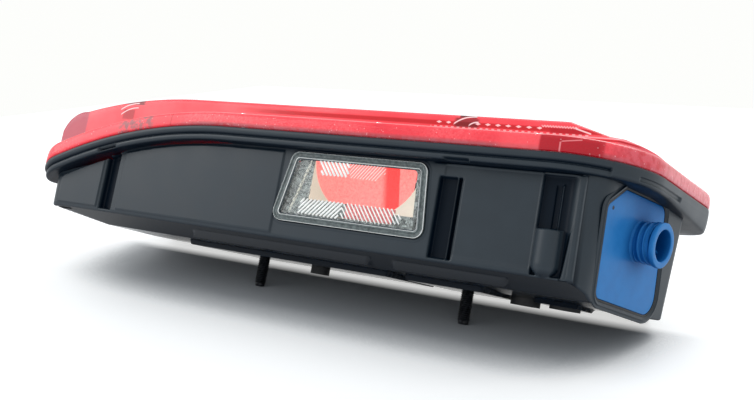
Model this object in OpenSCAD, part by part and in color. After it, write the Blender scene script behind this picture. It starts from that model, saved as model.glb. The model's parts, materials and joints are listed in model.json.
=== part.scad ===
// Rear lamp cluster for a truck or trailer, fixed by two studs at its back.
// The origin is the middle between the studs, on the mounting face.
// X runs along the lamp towards its connector end, Z out of the lens.
// The near side, which carries the number plate window, faces negative Y.

/* [Flange] */
// Reach of the flange from the middle of the studs to the left end
left_reach = 233; // [226:1:250]
// Reach of the flange to the right end, at the near side
right_reach = 178; // [174:1:186]
// How much further the right end reaches at the far side
end_slant = 28; // [22:1:34]
// Half of the flange's width
flange_half = 77.5; // [76:0.5:80]
// Corner radius of the flange at the left end
left_corner = 20; // [18:1:34]
// Corner radius of the flange at the near right corner
near_corner = 54; // [46:1:58]
// Corner radius of the flange at the far right corner
far_corner = 25; // [18:1:30]
// Height of the flange's upper bead
bead_upper = 5; // [4.5:0.5:7]
// Height of the flange's lower bead
bead_lower = 4; // [3.5:0.5:5]
// Step from the upper bead in to the lower bead
bead_step = 2; // [1:0.5:3]

/* [Profile] */
// Height from the mounting face to the parting line of lens and housing
parting_z = 75; // [72:1:82]
// Place where the parting line starts to bend down
bend_x = -70; // [-80:1:-60]
// Radius of that bend
bend_r = 355; // [340:1:390]

/* [Housing body] */
// How far the side walls stand in from the flange
wall_in = 10; // [8:0.5:12]
// Thickness of the moulded walls
wall = 3; // [2:0.25:3.5]
// Corner radius at the body's left end
body_corner = 8; // [6:1:18]
// Height of the lower edge of the side walls
sill_z = 12; // [10:0.5:14]
// Height of the underside between the sill slopes
belly_z = 2; // [1:0.5:3]
// Width of each sill slope, in plan
sill_run = 14; // [10:1:18]
// Half width of the raised mounting pads
pad_half = 38; // [30:1:44]

/* [Connector end] */
// Angle of the connector face from the lamp's cross section
face_turn = 17; // [14:1:20]
// Draft angle of the connector face
face_draft = 5; // [3:0.5:6]
// Thickness of the connector plate
plate_t = 3; // [2.5:0.25:4]
// Width of the seal around the connector plate
seal_w = 1.2; // [1:0.1:1.6]
// Outer radius of the connector's shell
shell_r = 10.75; // [10:0.25:11.5]
// Wall of the connector's shell
shell_wall = 2.1; // [1.8:0.1:2.4]
// Length that the shell stands out
shell_len = 13; // [12:0.5:16]
// Number of contact pins
pin_count = 7; // [5:1:8]
// Radius of a contact pin
pin_r = 0.8; // [0.6:0.1:1]

/* [Lens] */
// Height of the lens skirt above the parting line
skirt_h = 9; // [8:0.5:10]
// Height of the raised lens above the skirt
crown_h = 11; // [9:0.5:12]
// How far the raised lens stands in from the skirt
crown_in = 15.5; // [14:0.5:17]
// Thickness of the lens
lens_t = 2.5; // [2:0.25:3]
// Width of the seal between lens and housing
lens_seal_w = 2.4; // [2:0.2:2.8]
// Radius of a lens screw
screw_r = 1.75; // [1.5:0.25:2]

/* [Number plate window] */
// Height of the window's lower edge
window_low = 22; // [20.5:0.5:24]
// Height of the window
window_h = 42.5; // [38:0.5:43]
// Length of the window's lower edge
window_len = 101; // [96:1:104]
// Right end of the window's lower edge
window_right = 70.5; // [69:0.5:71.5]
// Slant of the window's left edge
window_slant = 8.5; // [6:0.5:10]
// Slant of the window's right edge
window_slant_right = 4; // [2:0.5:5]
// Corner radius of the window
window_corner = 6; // [4:0.5:8]

/* [Studs] */
// Distance between the two studs
stud_spacing = 152; // [148:1:156]
// Radius of a stud
stud_r = 4; // [3:0.5:5]
// Length of stud below the mounting face
stud_len = 20; // [18:1:30]
// Clearance around the studs and other seated pieces
seat_gap = 0.15; // [0.1:0.05:0.25]

/* [Light sources] */
// Radius of a bulb's glass
glass_r = 12.5; // [11:0.5:13.5]
// Radius of a bulb's metal base
base_r = 7.5; // [6.5:0.5:8]
// Height of a bulb above its holder's seat
bulb_h = 44; // [40:1:46]
// Outer radius of a bulb holder
holder_r = 11; // [10:0.5:12]
// Height of a bulb holder
holder_h = 9; // [8:0.5:10]
// Thickness of the carrier boards that hold the bulb holders
carrier_t = 2; // [1.5:0.25:2.5]
// Thickness of the reflectors
reflector_t = 1.5; // [1.25:0.25:2]

/* [Hidden] */
fine = 64;
// Steps along a rounded corner and along the long bend
corner_steps = 8;
bend_steps = 12;
bend_sweep = 37;
// Longer than the lamp in every direction, for cutting shapes
reach = 2 * (left_reach + right_reach);
// Least radius of a corner after it has moved inwards
corner_min = 1;
// Overlap that joins shapes of one moulding
join = 0.5;

// Flange
flange_pts = [[-left_reach, -flange_half], [right_reach, -flange_half],
    [right_reach + end_slant, flange_half], [-left_reach, flange_half]];
flange_radii = [left_corner, near_corner, far_corner, left_corner];
rim_h = bead_upper + bead_lower;
// Depth of the well inside the flange, which leaves a floor as thick as the walls
well_in = wall_in + wall;
well_d = rim_h - wall;

// Body of the housing
body_half = flange_half - wall_in;
body_left = left_reach - wall_in;
// Distances of a point on the connector face from the flange's right end and near side
face_in = [15.3, 27.5];
face_point = [right_reach - face_in.x, -flange_half + face_in.y];
face_z = 6;
face_x = [cos(face_turn), -sin(face_turn)];
face_y = [sin(face_turn), cos(face_turn)];
near_edge_y = -(body_half + face_point.y) / cos(face_turn);
// Bevel between the connector face and the far wall: its run in Y, and its end from the right
bevel_run = 42;
bevel_end = 6;
far_edge_y = (body_half - bevel_run - face_point.y) / cos(face_turn);
far_wall_end = right_reach - bevel_end;
end_radii = [corner_min, 16, 8, 12, corner_min];
side_radii = [body_corner, corner_min, corner_min, body_corner];
// Underside: flat belly, and a rise towards the left end
belly_flat = 14;
rise_from_left = 83;
rise_x = rise_from_left - left_reach;
rise_h = 9;
// The left wall leans out by this much from its foot to the parting line
left_lean = 2.5;
// Chamber walls inside the housing
divider_from_left = 58;
divider_from_window = 8.5;
divider_left = divider_from_left - left_reach;
divider_right = window_right + divider_from_window;
divider_t = 2.5;
divider_drop = 13;

// Mounting pads and bosses on the underside
// Ends of the pads, measured from the studs
pad_ends = [36, 38, 26, 22];
pads = [[-stud_spacing / 2 - pad_ends[0], stud_spacing / 2 - pad_ends[1]],
    [stud_spacing / 2 - pad_ends[2], stud_spacing / 2 + pad_ends[3]]];
boot_pad_from_stud = [46, 71];
boot_pad_x = [for (x = boot_pad_from_stud) stud_spacing / 2 + x];
boot_pad_y = [-18, 26];
pad_round = 4;
// Raised steps along both sill slopes, with their lower face at sill_step_z
sill_steps = [[-92, 36], [52, 118]];
sill_step_in = [6.5, 17.5];
sill_step_y = [sill_step_in[0] - body_half, body_half - sill_step_in[1]];
sill_step_z = 4;
// Knurled collar of a stud in its boss, and the boss around it
collar_out = 0.5;
collar_r = stud_r + collar_out;
boss_wall = 5.5;
boss_r = collar_r + boss_wall;
boss_h = 9;
head_out = 2;
head_half = collar_r + head_out;
head_h = 4;
// Thinner tip of a stud
tip_len = 2;
tip_in = 0.8;
// Plugs, measured from the studs
boot_from_stud = 59;
vent_from_stud = 33;
blank_from_stud = 39;
plug_y = 12;
boot_at = [stud_spacing / 2 + boot_from_stud, 4];
vent_at = [stud_spacing / 2 + vent_from_stud, plug_y];
blank_at = [blank_from_stud - stud_spacing / 2, plug_y];
plug_r = 9;
blank_r = 6.5;
plug_lip = 2.5;

// Side wall panels and grooves of the near side
panel_proud = 1;
panel_gap = 1.6;
panel_low = sill_z + 1.5;
facet_from_left = [19, 59];
facet_x = [for (x = facet_from_left) x - left_reach];
left_groove_from_left = [60, 72];
left_groove = [for (x = left_groove_from_left) x - left_reach];
long_panel_from_left = 76;
long_panel_end = -34;
long_panel_x = [long_panel_from_left - left_reach, long_panel_end];
groove_deep = 5;
right_groove_from_window = [3, 9.5];
right_groove = [for (x = right_groove_from_window) window_right + x];
// Two thin ridges beside the right groove
ridge_w = 2;
groove_low = 13;
groove_top = parting_z - rim_h - 2;
flat_panel_from_right = [89.5, 47];
flat_panel_x = [for (x = flat_panel_from_right) right_reach - x];
flat_panel_z = [sill_z - 3, groove_top + 1];
flat_panel_sink = 1.2;
recess_from_right = [45, 28];
recess_x = [for (x = recess_from_right) right_reach - x];
recess_deep = 3;
rib_from_right = [39.5, 35];
rib_x = [for (x = rib_from_right) right_reach - x];
rib_low = 36;
rib_top = groove_top - 3;
cup_from_right = 40;
cup_x = right_reach - cup_from_right;
cup_r = 7;
cup_low = 11.5;
cup_in = 2;
left_hook_from_left = [55, 70];
right_hook_from_window = [5.5, 18.5];
hook_slots = [[for (x = left_hook_from_left) x - left_reach],
    [for (x = right_hook_from_window) window_right + x]];
// Deeper flange at the far right corner
deep_rim = 6.5;
deep_rim_from_right = [74, 28];
deep_rim_x = [for (x = deep_rim_from_right) right_reach - x];
deep_rim_y = [-20, 60];
// Seam on the near side, right of which the flange's side has no step
seam_from_right = 13;
seam_x = right_reach - seam_from_right;
// Long slot in that plain side: its height above the flange's lower edge, and its depth
end_slot_y = [-55, -4];
end_slot_rise = [1.8, 4.2];
end_slot_deep = 1.2;

// Connector plate, in the connector face's own axes
plate_pts = [[-0.9, 0.4], [67.4, -3.4], [54.8, 58.9], [7.2, 58.9], [-8.4, 47.6]];
plate_radii = [5, 10, 7, 3, 4];
// Raised rim around the plate's seal: its inner and outer edge from the seal, and its height
plate_rim = [1, 2];
plate_rim_proud = 0.8;
shell_at = [33.5, 35.5];
plate_sunk = 0.4;
end_wall = plate_t + 4;
mouth_r = shell_r + 1.5;
mouth_w = 2.6;
ramp_r = shell_r + 0.9;
ramp_w = 1.1;
ramp_pitch = 3.2;
ramp_start = 2;
ramp_count = 3;
lug_len = 8;
lug_w = 6;
bore_r = shell_r - shell_wall;
pin_ring = bore_r - 3;
pin_out = 5;
pin_back = 13;
spigot_len = 8;
mark_at = [-2.6, 47.2];
mark_r = 0.8;

// Lens
crown_z = parting_z + skirt_h + crown_h;
crown_bend_from_left = 123;
crown_bend_x = crown_bend_from_left - left_reach;
crown_bend_r = 365;
crown_edge = 4;
crown_left = -left_reach + crown_edge;
crown_nose = 20;
// Places along X where the raised lens steps down to the right, each with its drop
crown_slope_from_right = [39, 18];
crown_drops = [0, 6.5, 12.8];
crown_slope = [[right_reach - crown_slope_from_right[0], crown_drops[0]],
    [right_reach - crown_slope_from_right[1], crown_drops[1]],
    [right_reach + end_slant, crown_drops[2]]];
crown_round = 3;
tongue_in = 8.3;
tongue_d = 1.5;
seal_in = tongue_in - 0.3;
seal_top = tongue_d;
seal_d = 3.2;
screw_xs = [-60, 35, 128];
screw_in = 5.2;
screw_head_r = 3.6;
screw_head_h = 2.2;
screw_boss_wall = 1.2;
screw_boss_r = screw_head_r + screw_boss_wall;
screw_deep = 7;
amber_from_left = [25, 49];
amber_x = [for (x = amber_from_left) x - left_reach];
amber_half = 42;
clear_from_right = [86, 54];
clear_x = [for (x = clear_from_right) right_reach - x];
clear_y = [6, 46];
panel_round = 6;

// Window
window_pts = [[window_right - window_len, window_low], [window_right, window_low],
    [window_right - window_slant_right, window_low + window_h],
    [window_right - window_len + window_slant, window_low + window_h]];
window_radii = [for (p = window_pts) window_corner];
window_rim = 4;
window_proud = 1.2;
window_ledge = 1.5;
bead_w = 1.3;
bead_h = 0.7;
box_deep = 18;
box_t = 1.5;
box_back = -body_half + wall + seat_gap + box_deep;

// Light sources
carrier_z = 13;
holder_top = carrier_z + carrier_t + holder_h;
// Half of the room inside, clear of the grooves' inner faces
room_half = body_half - wall - groove_deep - seat_gap;
carrier_in = 7.35;
carrier_half = room_half - carrier_in;
// Ends of the boards, measured from the flange's left end, from the studs and from the right end
board_ends_from_left = [25, 51, 73];
board_end_middle = 64;
board_start_right = 88;
board_end_from_right = 32;
carriers = [[for (x = [board_ends_from_left[0], board_ends_from_left[1]]) x - left_reach],
    [board_ends_from_left[2] - left_reach, board_end_middle],
    [board_start_right, right_reach - board_end_from_right]];
feet_from_left = [37, 133];
feet_middle = 30;
feet_from_right = 66;
feet_x = [feet_from_left[0] - left_reach, feet_from_left[1] - left_reach, feet_middle,
    right_reach - feet_from_right];
foot_r = 4;
strip_in = 8;
strip_half = carrier_half - strip_in;
strip_w = 5;
strip_t = 0.8;
indicator_from_left = 34;
stop_from_left = 113;
pair_from_right = 56;
// Distance in Y between a strip and the bulb of the fog or the reverse light
pair_from_strip = 17;
indicator_at = [indicator_from_left - left_reach, 0];
stop_at = [stop_from_left - left_reach, 0];
tail_at = [-18, 0];
fog_at = [right_reach - pair_from_right, pair_from_strip - strip_half];
reverse_at = [right_reach - pair_from_right, strip_half - pair_from_strip];
bowl_foot = 9.5;
bowl_up = 2;
bowl_low = holder_top + bowl_up;
bowl_rims = [19, 38, 26];
reflector_drops = [14, 17, 17];
// Red screen on the back of the light box, short of its right end
screen_t = 0.8;
screen_short = 20;
// Base and glass of a bulb: the base above its holder, and how far the glass reaches down over it
base_above = 6;
glass_over = 1;
neck_share = 0.7;
// How much narrower and shorter each bulb is than the stop light's
indicator_less = [3.5, 9];
tail_less = [3, 6];
pair_less = [2, 0];
chamber_gap = 0.3;

function unit(v) = v / norm(v);
function left_of(v) = [-v.y, v.x];
// Corner b of an outline, moved inwards by d from both of its edges
function moved(a, b, c, d) =
    let (n1 = left_of(unit(b - a)), n2 = left_of(unit(c - b)))
    b + d * (n1 + n2) / (1 + n1 * n2);
// Points of the arc that rounds corner b
function corner_arc(a, b, c, r) =
    let (n1 = left_of(unit(b - a)), n2 = left_of(unit(c - b)),
        middle = b + r * (n1 + n2) / (1 + n1 * n2),
        from = atan2(-n1.y, -n1.x),
        turn = acos(n1 * n2))
    [for (i = [0:corner_steps])
        let (a = from + turn * i / corner_steps) middle + r * [cos(a), sin(a)]];
// Outline through pts with rounded corners, moved inwards by d
function rounded(pts, radii, d = 0) =
    let (k = len(pts),
        q = [for (i = [0:k - 1]) moved(pts[(i + k - 1) % k], pts[i], pts[(i + 1) % k], d)])
    [for (i = [0:k - 1])
        each corner_arc(q[(i + k - 1) % k], q[i], q[(i + 1) % k], max(radii[i] - d, corner_min))];
function backwards(list) = [for (i = [len(list) - 1:-1:0]) list[i]];
// Side view curve that runs parallel to the parting line, d above it
function level(d) = concat(
    [for (i = [bend_steps:-1:0])
        let (a = bend_sweep * i / bend_steps)
        [bend_x - (bend_r + d) * sin(a), parting_z - bend_r + (bend_r + d) * cos(a)]],
    [[reach, parting_z + d]]);
// Plan point in the axes of the connector face
function to_face(p) = [(p - face_point) * face_x, (p - face_point) * face_y];
function rect(x, y) = [[x[0], y[0]], [x[1], y[0]], [x[1], y[1]], [x[0], y[1]]];

// Shape drawn in side view, X and Z, and as deep as y says
module side_view(pts, y = [-reach, reach])
    translate([0, y[1], 0]) rotate([90, 0, 0]) linear_extrude(height = y[1] - y[0]) polygon(pts);
// Shape drawn in cross section, Y and Z, and as long as x says
module cross_view(pts, x = [-reach, reach])
    translate([x[0], 0, 0]) rotate([90, 0, 90]) linear_extrude(height = x[1] - x[0]) polygon(pts);
module plan_view(pts, z = [-reach, reach])
    translate([0, 0, z[0]]) linear_extrude(height = z[1] - z[0]) polygon(pts);
// Box from its lowest to its highest corner
module block(x, y, z)
    translate([x[0], y[0], z[0]]) cube([x[1] - x[0], y[1] - y[0], z[1] - z[0]]);
module post(at, r, z) translate([at.x, at.y, z[0]]) cylinder(r = r, h = z[1] - z[0], $fn = fine);

module band(low, high) side_view(concat(level(low), backwards(level(high))));
module below(d) side_view(concat(level(d), [[reach, -reach], [-reach, -reach]]));
// Flange shaped slab between two levels, moved inwards by d
module slab(d, low, high) {
    intersection() {
        plan_view(rounded(flange_pts, flange_radii, d));
        band(low, high);
    }
}
module plain_end(low, high)
    intersection() {
        slab(0, low, high);
        block([seam_x, reach], [-reach, reach], [0, reach]);
    }
module at_face()
    translate([face_point.x, face_point.y, face_z]) rotate([0, 0, -face_turn]) rotate([0, face_draft, 0])
        children();
// Outline drawn on the connector face, from depth x[0] to x[1] along its normal
module on_face(pts, x)
    at_face() cross_view(pts, x);
module shell_axis() at_face() translate([0, shell_at.x, shell_at.y]) rotate([0, 90, 0]) children();
module round_on_axis(r, x)
    shell_axis() translate([0, 0, x[0]]) cylinder(r = r, h = x[1] - x[0], $fn = fine);

// Body of the housing, moved inwards by d on its sides and up by lift at its underside
module body_block(d, lift) {
    end_pts = [to_face([-reach, -body_half]), [0, near_edge_y], [0, far_edge_y],
        to_face([far_wall_end, body_half]), to_face([-reach, body_half])];
    flat = [belly_flat, belly_z + lift];
    shoulder = [body_half - sill_run, belly_z + 1.5 + lift];
    side = [body_half + 1, sill_z + lift + (sill_z - shoulder.y + lift) / sill_run];
    intersection() {
        plan_view(rounded(rect([-body_left, reach], [-body_half, body_half]), side_radii, d));
        at_face() plan_view(rounded(end_pts, end_radii, d), [-reach, reach]);
        cross_view([[-side.x, side.y], [-shoulder.x, shoulder.y], [-flat.x, flat.y], [flat.x, flat.y],
            [shoulder.x, shoulder.y], [side.x, side.y], [side.x, reach], [-side.x, reach]]);
        side_view([[-body_left + left_lean + d, belly_z + rise_h + lift], [rise_x, lift - join],
            [reach, lift - join], [reach, reach], [-body_left + d, reach], [-body_left + d, parting_z]]);
        below(-join);
    }
}
module near_panel(x, z, out)
    intersection() {
        block(x, [-body_half - out, -body_half + join], z);
        below(-rim_h - panel_gap);
    }
module chamber_walls() {
    for (x = [divider_left, divider_right])
        intersection() {
            body_block(wall / 2, wall / 2);
            block([x - divider_t / 2, x + divider_t / 2], [-reach, reach], [-reach, reach]);
            below(-divider_drop);
        }
}
module raised_pad(x, y)
    plan_view(rounded(rect(x, y), [for (i = [0:3]) pad_round]), [0, belly_z + join]);
module stud_bosses()
    for (s = [-1, 1]) post([s * stud_spacing / 2, 0], boss_r, [belly_z, belly_z + boss_h]);
module window_seat(d, y) side_view(rounded(window_pts, window_radii, d), y);

module housing_solid() {
    slab(0, -bead_upper, 0);
    slab(bead_step, -rim_h, -bead_upper + join);
    plain_end(-rim_h, -bead_upper + join);
    body_block(0, 0);
    near_panel(facet_x, [panel_low, reach], panel_proud);
    near_panel(long_panel_x, [panel_low, reach], panel_proud);
    for (k = [0, 2])
        near_panel([right_groove[1] + k * ridge_w, right_groove[1] + (k + 1) * ridge_w],
            [groove_low, reach], panel_proud);
    intersection() {
        union() {
            post([cup_x, -body_half + cup_in], cup_r, [cup_low + cup_r, rib_low]);
            translate([cup_x, -body_half + cup_in, cup_low + cup_r]) sphere(r = cup_r, $fn = fine);
        }
        block([-reach, reach], [-reach, -body_half + recess_deep + join], [-reach, reach]);
    }
    for (x = pads) raised_pad(x, [-pad_half, pad_half]);
    raised_pad(boot_pad_x, boot_pad_y);
    for (x = sill_steps)
        plan_view(rounded(rect(x, sill_step_y), [for (i = [0:3]) pad_round]), [sill_step_z, sill_z]);
    // Deeper flange at the far right corner
    intersection() {
        union() {
            slab(bead_step, -rim_h - deep_rim - join, -rim_h + join);
            plain_end(-rim_h - deep_rim - join, -rim_h + join);
        }
        side_view([[deep_rim_x[0], parting_z - rim_h], [deep_rim_x[1], parting_z - rim_h - deep_rim],
            [reach, parting_z - rim_h - deep_rim], [reach, reach], [deep_rim_x[0], reach]]);
        cross_view([[deep_rim_y[0], parting_z - rim_h], [deep_rim_y[1], parting_z - rim_h - deep_rim],
            [reach, parting_z - rim_h - deep_rim], [reach, reach], [deep_rim_y[0], reach]]);
    }
    // Rim around the connector plate
    difference() {
        on_face(rounded(plate_pts, plate_radii, -seal_w - plate_rim[1]), [-join, plate_rim_proud]);
        on_face(rounded(plate_pts, plate_radii, -seal_w - plate_rim[0]), [-1, plate_rim_proud + 1]);
    }
}
// Thicker places inside the housing's walls, where grooves and seats are cut
module housing_inside() {
    intersection() {
        body_block(wall / 2, wall / 2);
        below(-rim_h);
        union() {
            for (g = [left_groove, right_groove])
                block([g[0] - wall, g[1] + wall], [-body_half, -body_half + groove_deep + wall],
                    [0, reach]);
            block([recess_x[0] - wall, recess_x[1] + wall],
                [-body_half, -body_half + recess_deep + wall], [0, reach]);
            on_face(rounded(plate_pts, plate_radii, -seal_w - wall), [-end_wall, 0]);
            stud_bosses();
        }
    }
    chamber_walls();
    intersection() {
        body_block(wall / 2, wall / 2);
        for (p = carrier_feet()) post(p, foot_r, [0, carrier_z]);
    }
}
module rear_housing() {
    color([0.13, 0.15, 0.17])
    difference() {
        union() {
            difference() {
                housing_solid();
                body_block(wall, wall);
                slab(well_in, -well_d, join);
            }
            housing_inside();
        }
        // Groove for the lens seal
        difference() {
            slab(seal_in, -seal_d, join);
            slab(seal_in + lens_seal_w + 2 * seat_gap, -seal_d - 1, 1);
        }
        for (p = screw_places()) post(p, screw_r, [parting_z - screw_deep, parting_z + 1]);
        // Grooves and sunk panel of the near wall
        intersection() {
            below(-rim_h - panel_gap);
            block(left_groove, [-reach, -body_half + groove_deep], [sill_z + 1, reach]);
        }
        block(right_groove, [-reach, -body_half + groove_deep], [groove_low, groove_top]);
        block(flat_panel_x, [-reach, -body_half + flat_panel_sink], flat_panel_z);
        // Recess beside it, where the rib and the half round boss stay
        difference() {
            block(recess_x, [-reach, -body_half + recess_deep], [sill_z, groove_top]);
            block(rib_x, [-reach, reach], [rib_low - join, rib_top]);
            post([cup_x, -body_half + cup_in], cup_r, [-reach, rib_low]);
        }
        for (x = hook_slots)
            intersection() {
                block(x, [-reach, -flange_half + bead_step + 2.5], [0, reach]);
                band(-rim_h + 0.8, -rim_h + 3);
            }
        difference() {
            intersection() {
                band(-rim_h + end_slot_rise[0], -rim_h + end_slot_rise[1]);
                block([seam_x, reach], end_slot_y, [0, reach]);
            }
            slab(end_slot_deep, -rim_h, 0);
        }
        // Seat of the window, and the opening behind it
        window_seat(-seat_gap, [-reach, -body_half + window_ledge]);
        window_seat(window_rim, [-reach, -body_half + wall + 1]);
        // Seat of the connector plate, and the opening behind it
        on_face(rounded(plate_pts, plate_radii, -seal_w), [-plate_t - plate_sunk, reach / 4]);
        on_face(rounded(plate_pts, plate_radii, 6), [-end_wall - 2, 1]);
        for (s = [-1, 1]) {
            post([s * stud_spacing / 2, 0], collar_r + seat_gap, [-1, boss_h + belly_z + 1]);
            block([s * stud_spacing / 2 - head_half, s * stud_spacing / 2 + head_half],
                [-head_half, head_half], [wall + belly_z, boss_h + belly_z + 1]);
        }
        for (p = [[vent_at, plug_r], [blank_at, blank_r], [boot_at, plug_r]])
            post(p[0], p[1] - plug_lip, [-1, belly_z + wall + 1]);
    }
}

function screw_places() = [for (x = screw_xs, s = [-1, 1]) [x, s * (flange_half - screw_in)]];

// Raised part of the lens, moved inwards by d
module crown(d) {
    top = crown_z - d;
    bend = [for (i = [0:bend_steps])
        let (x = crown_left + crown_nose + (crown_bend_x - crown_left - crown_nose) * i / bend_steps)
        [x, top - crown_bend_r + sqrt(pow(crown_bend_r, 2) - pow(crown_bend_x - x, 2))]];
    nose = [for (i = [0:corner_steps])
        let (a = 180 - 78 * i / corner_steps)
        [crown_left + d + crown_nose * (1 + cos(a)), bend[0].y + crown_nose * (sin(a) - 1)]];
    side = concat([[crown_left + d, 0]], nose, [for (i = [1:bend_steps]) bend[i]],
        [for (p = crown_slope) [p.x - d, top - p.y]], [[crown_slope[2].x - d, 0]]);
    cross = concat([[-flange_half + crown_in + d, 0], [flange_half - crown_in - d, 0]],
        [for (i = [0:corner_steps])
            let (a = 90 * i / corner_steps)
            [flange_half - crown_in - crown_round + (crown_round - d) * cos(a),
                crown_z - crown_round + (crown_round - d) * sin(a)]],
        [for (i = [0:corner_steps])
            let (a = 90 + 90 * i / corner_steps)
            [-flange_half + crown_in + crown_round + (crown_round - d) * cos(a),
                crown_z - crown_round + (crown_round - d) * sin(a)]]);
    intersection() {
        plan_view(rounded(flange_pts, flange_radii, crown_edge + d));
        side_view(side);
        cross_view(cross);
        band(skirt_h - lens_t - join, reach / 8);
    }
}
// The whole lens with every colour in one piece
module lens_shell() {
    difference() {
        union() {
            slab(0, 0, skirt_h - 1.5);
            slab(1.5, skirt_h - 2, skirt_h);
            crown(0);
        }
        slab(lens_t, -1, skirt_h - lens_t);
        crown(lens_t);
    }
    difference() {
        slab(tongue_in, -tongue_d, skirt_h - 1);
        slab(tongue_in + lens_seal_w - 2 * seat_gap, -tongue_d - 1, skirt_h - 0.5);
    }
    for (p = screw_places()) post(p, screw_boss_r, [parting_z, parting_z + skirt_h - 1]);
}
module amber_field()
    plan_view(rounded(rect(amber_x, [-amber_half, amber_half]), [for (i = [0:3]) panel_round]),
        [parting_z - 30, reach]);
module clear_field()
    plan_view(rounded(rect(clear_x, clear_y), [for (i = [0:3]) panel_round]),
        [parting_z + skirt_h + 1, reach]);
module screw_cut(gap) {
    for (p = screw_places()) {
        post(p, screw_r + gap, [parting_z - 1, parting_z + skirt_h + 1]);
        post(p, screw_head_r + gap, [parting_z + skirt_h - screw_head_h, parting_z + skirt_h + 1]);
    }
}
module red_lens()
    color([0.82, 0.05, 0.08])
    difference() {
        lens_shell();
        amber_field();
        clear_field();
        screw_cut(seat_gap);
    }
module amber_panel() color([0.95, 0.5, 0.08]) intersection() { lens_shell(); amber_field(); }
module clear_panel() color([0.92, 0.94, 0.96]) intersection() { lens_shell(); clear_field(); }
module lens_seal()
    color([0.08, 0.08, 0.08])
    difference() {
        slab(seal_in + seat_gap, -seal_d, -seal_top - 0.05);
        slab(seal_in + seat_gap + lens_seal_w, -seal_d - 1, 1);
    }
module lens_screws()
    color([0.7, 0.7, 0.72])
    for (p = screw_places()) {
        post(p, screw_r, [parting_z - screw_deep + 1, parting_z + skirt_h - screw_head_h]);
        difference() {
            post(p, screw_head_r, [parting_z + skirt_h - screw_head_h, parting_z + skirt_h - 0.2]);
            translate([p.x, p.y, parting_z + skirt_h - 1.4]) cylinder(r = 1.6, h = 3, $fn = 6);
        }
    }

module number_plate_window() {
    front = -body_half - window_proud;
    color([0.85, 0.9, 0.92, 0.5])
    difference() {
        union() {
            window_seat(0, [front, -body_half + window_ledge]);
            window_seat(window_rim + seat_gap, [front, -body_half + wall]);
            difference() {
                window_seat(0, [front - bead_h, front + join]);
                window_seat(bead_w, [front - 2, front]);
            }
            difference() {
                window_seat(2 * bead_w, [front - bead_h, front + join]);
                window_seat(3 * bead_w, [front - 2, front]);
            }
        }
        window_seat(window_rim + 2, [-body_half + 1.2, -body_half + wall + 1]);
    }
}
// Pale box behind the window, open to the tail light chamber through a round cut
module plate_light_box() {
    front = box_back - box_deep;
    middle = window_right - window_len / 2 + 4;
    color([0.93, 0.9, 0.82])
    difference() {
        window_seat(window_rim - box_t, [front, box_back]);
        window_seat(window_rim, [front - 1, box_back - box_t]);
        intersection() {
            translate([middle, 0, window_low + window_h - 3]) rotate([90, 0, 0])
                cylinder(r = window_h - 12, h = reach, center = true, $fn = fine);
            window_seat(window_rim + 1, [-reach, reach]);
        }
    }
}

// Red screen on the back of that box, over most of the round cut
module light_screen()
    color([0.85, 0.1, 0.12])
    intersection() {
        window_seat(window_rim - box_t, [box_back, box_back + screen_t]);
        block([-reach, window_right - screen_short], [-reach, reach], [-reach, reach]);
    }

module connector_plate() {
    inner = -plate_t - plate_sunk;
    color([0.25, 0.5, 0.82])
    difference() {
        union() {
            on_face(rounded(plate_pts, plate_radii, seat_gap), [inner, -plate_sunk]);
            round_on_axis(shell_r, [inner, shell_len]);
            round_on_axis(shell_r - 1, [inner - spigot_len, inner + join]);
            round_on_axis(mouth_r, [shell_len - mouth_w, shell_len]);
            for (k = [0:ramp_count - 1]) {
                x = ramp_start + k * ramp_pitch;
                round_on_axis(ramp_r, [x, x + ramp_w]);
            }
            intersection() {
                round_on_axis(mouth_r, [shell_len - lug_len, shell_len]);
                shell_axis() translate([-mouth_r - 1, -lug_w / 2, 0]) cube([lug_w, lug_w, shell_len]);
            }
        }
        round_on_axis(bore_r, [-plate_sunk - 1, shell_len + 1]);
        on_face([for (i = [0:11]) mark_at + mark_r * [cos(30 * i), sin(30 * i)]], [inner - 1, 1]);
        pin_places() cylinder(r = pin_r, h = 2 * pin_back, center = true, $fn = fine);
    }
}
module pin_places()
    shell_axis() {
        children();
        for (i = [0:pin_count - 2])
            rotate([0, 0, 360 * i / (pin_count - 1)]) translate([pin_ring, 0, 0]) children();
    }
module connector_pins()
    color([0.8, 0.7, 0.35])
    pin_places() translate([0, 0, -pin_back]) cylinder(r = pin_r, h = pin_back + pin_out, $fn = fine);
module connector_seal()
    color([0.05, 0.05, 0.06])
    difference() {
        on_face(rounded(plate_pts, plate_radii, -seal_w + seat_gap),
            [-plate_t - plate_sunk, -plate_sunk + 0.2]);
        on_face(rounded(plate_pts, plate_radii, 0), [-reach / 4, 1]);
    }

// Stud with a collar and a square head that stand in the housing's boss
module stud(s) {
    color([0.12, 0.12, 0.13])
    translate([s * stud_spacing / 2, 0, 0]) {
        translate([0, 0, -stud_len + tip_len])
            cylinder(r = stud_r, h = stud_len - tip_len, $fn = fine);
        cylinder(r = collar_r, h = belly_z + wall + join, $fn = fine);
        translate([0, 0, -stud_len]) cylinder(r = stud_r - tip_in, h = tip_len + join, $fn = fine);
        block([-head_half + seat_gap, head_half - seat_gap], [-head_half + seat_gap, head_half - seat_gap],
            [wall + belly_z, wall + belly_z + head_h]);
    }
}
module stud_left() stud(-1);
module stud_right() stud(1);

// Room of one chamber, below the parting line by drop
module chamber(x, drop)
    intersection() {
        body_block(wall + chamber_gap, wall);
        block(x, [-room_half, room_half], [-reach, reach]);
        at_face() block([-reach, -end_wall - chamber_gap], [-reach, reach], [-reach, reach]);
        below(-drop);
    }
function beside(x) = [x - divider_t / 2 - seat_gap, x + divider_t / 2 + seat_gap];
function rooms() = [[-reach, beside(divider_left)[0]], [beside(divider_left)[1], beside(divider_right)[0]],
    [beside(divider_right)[1], reach]];
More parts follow.
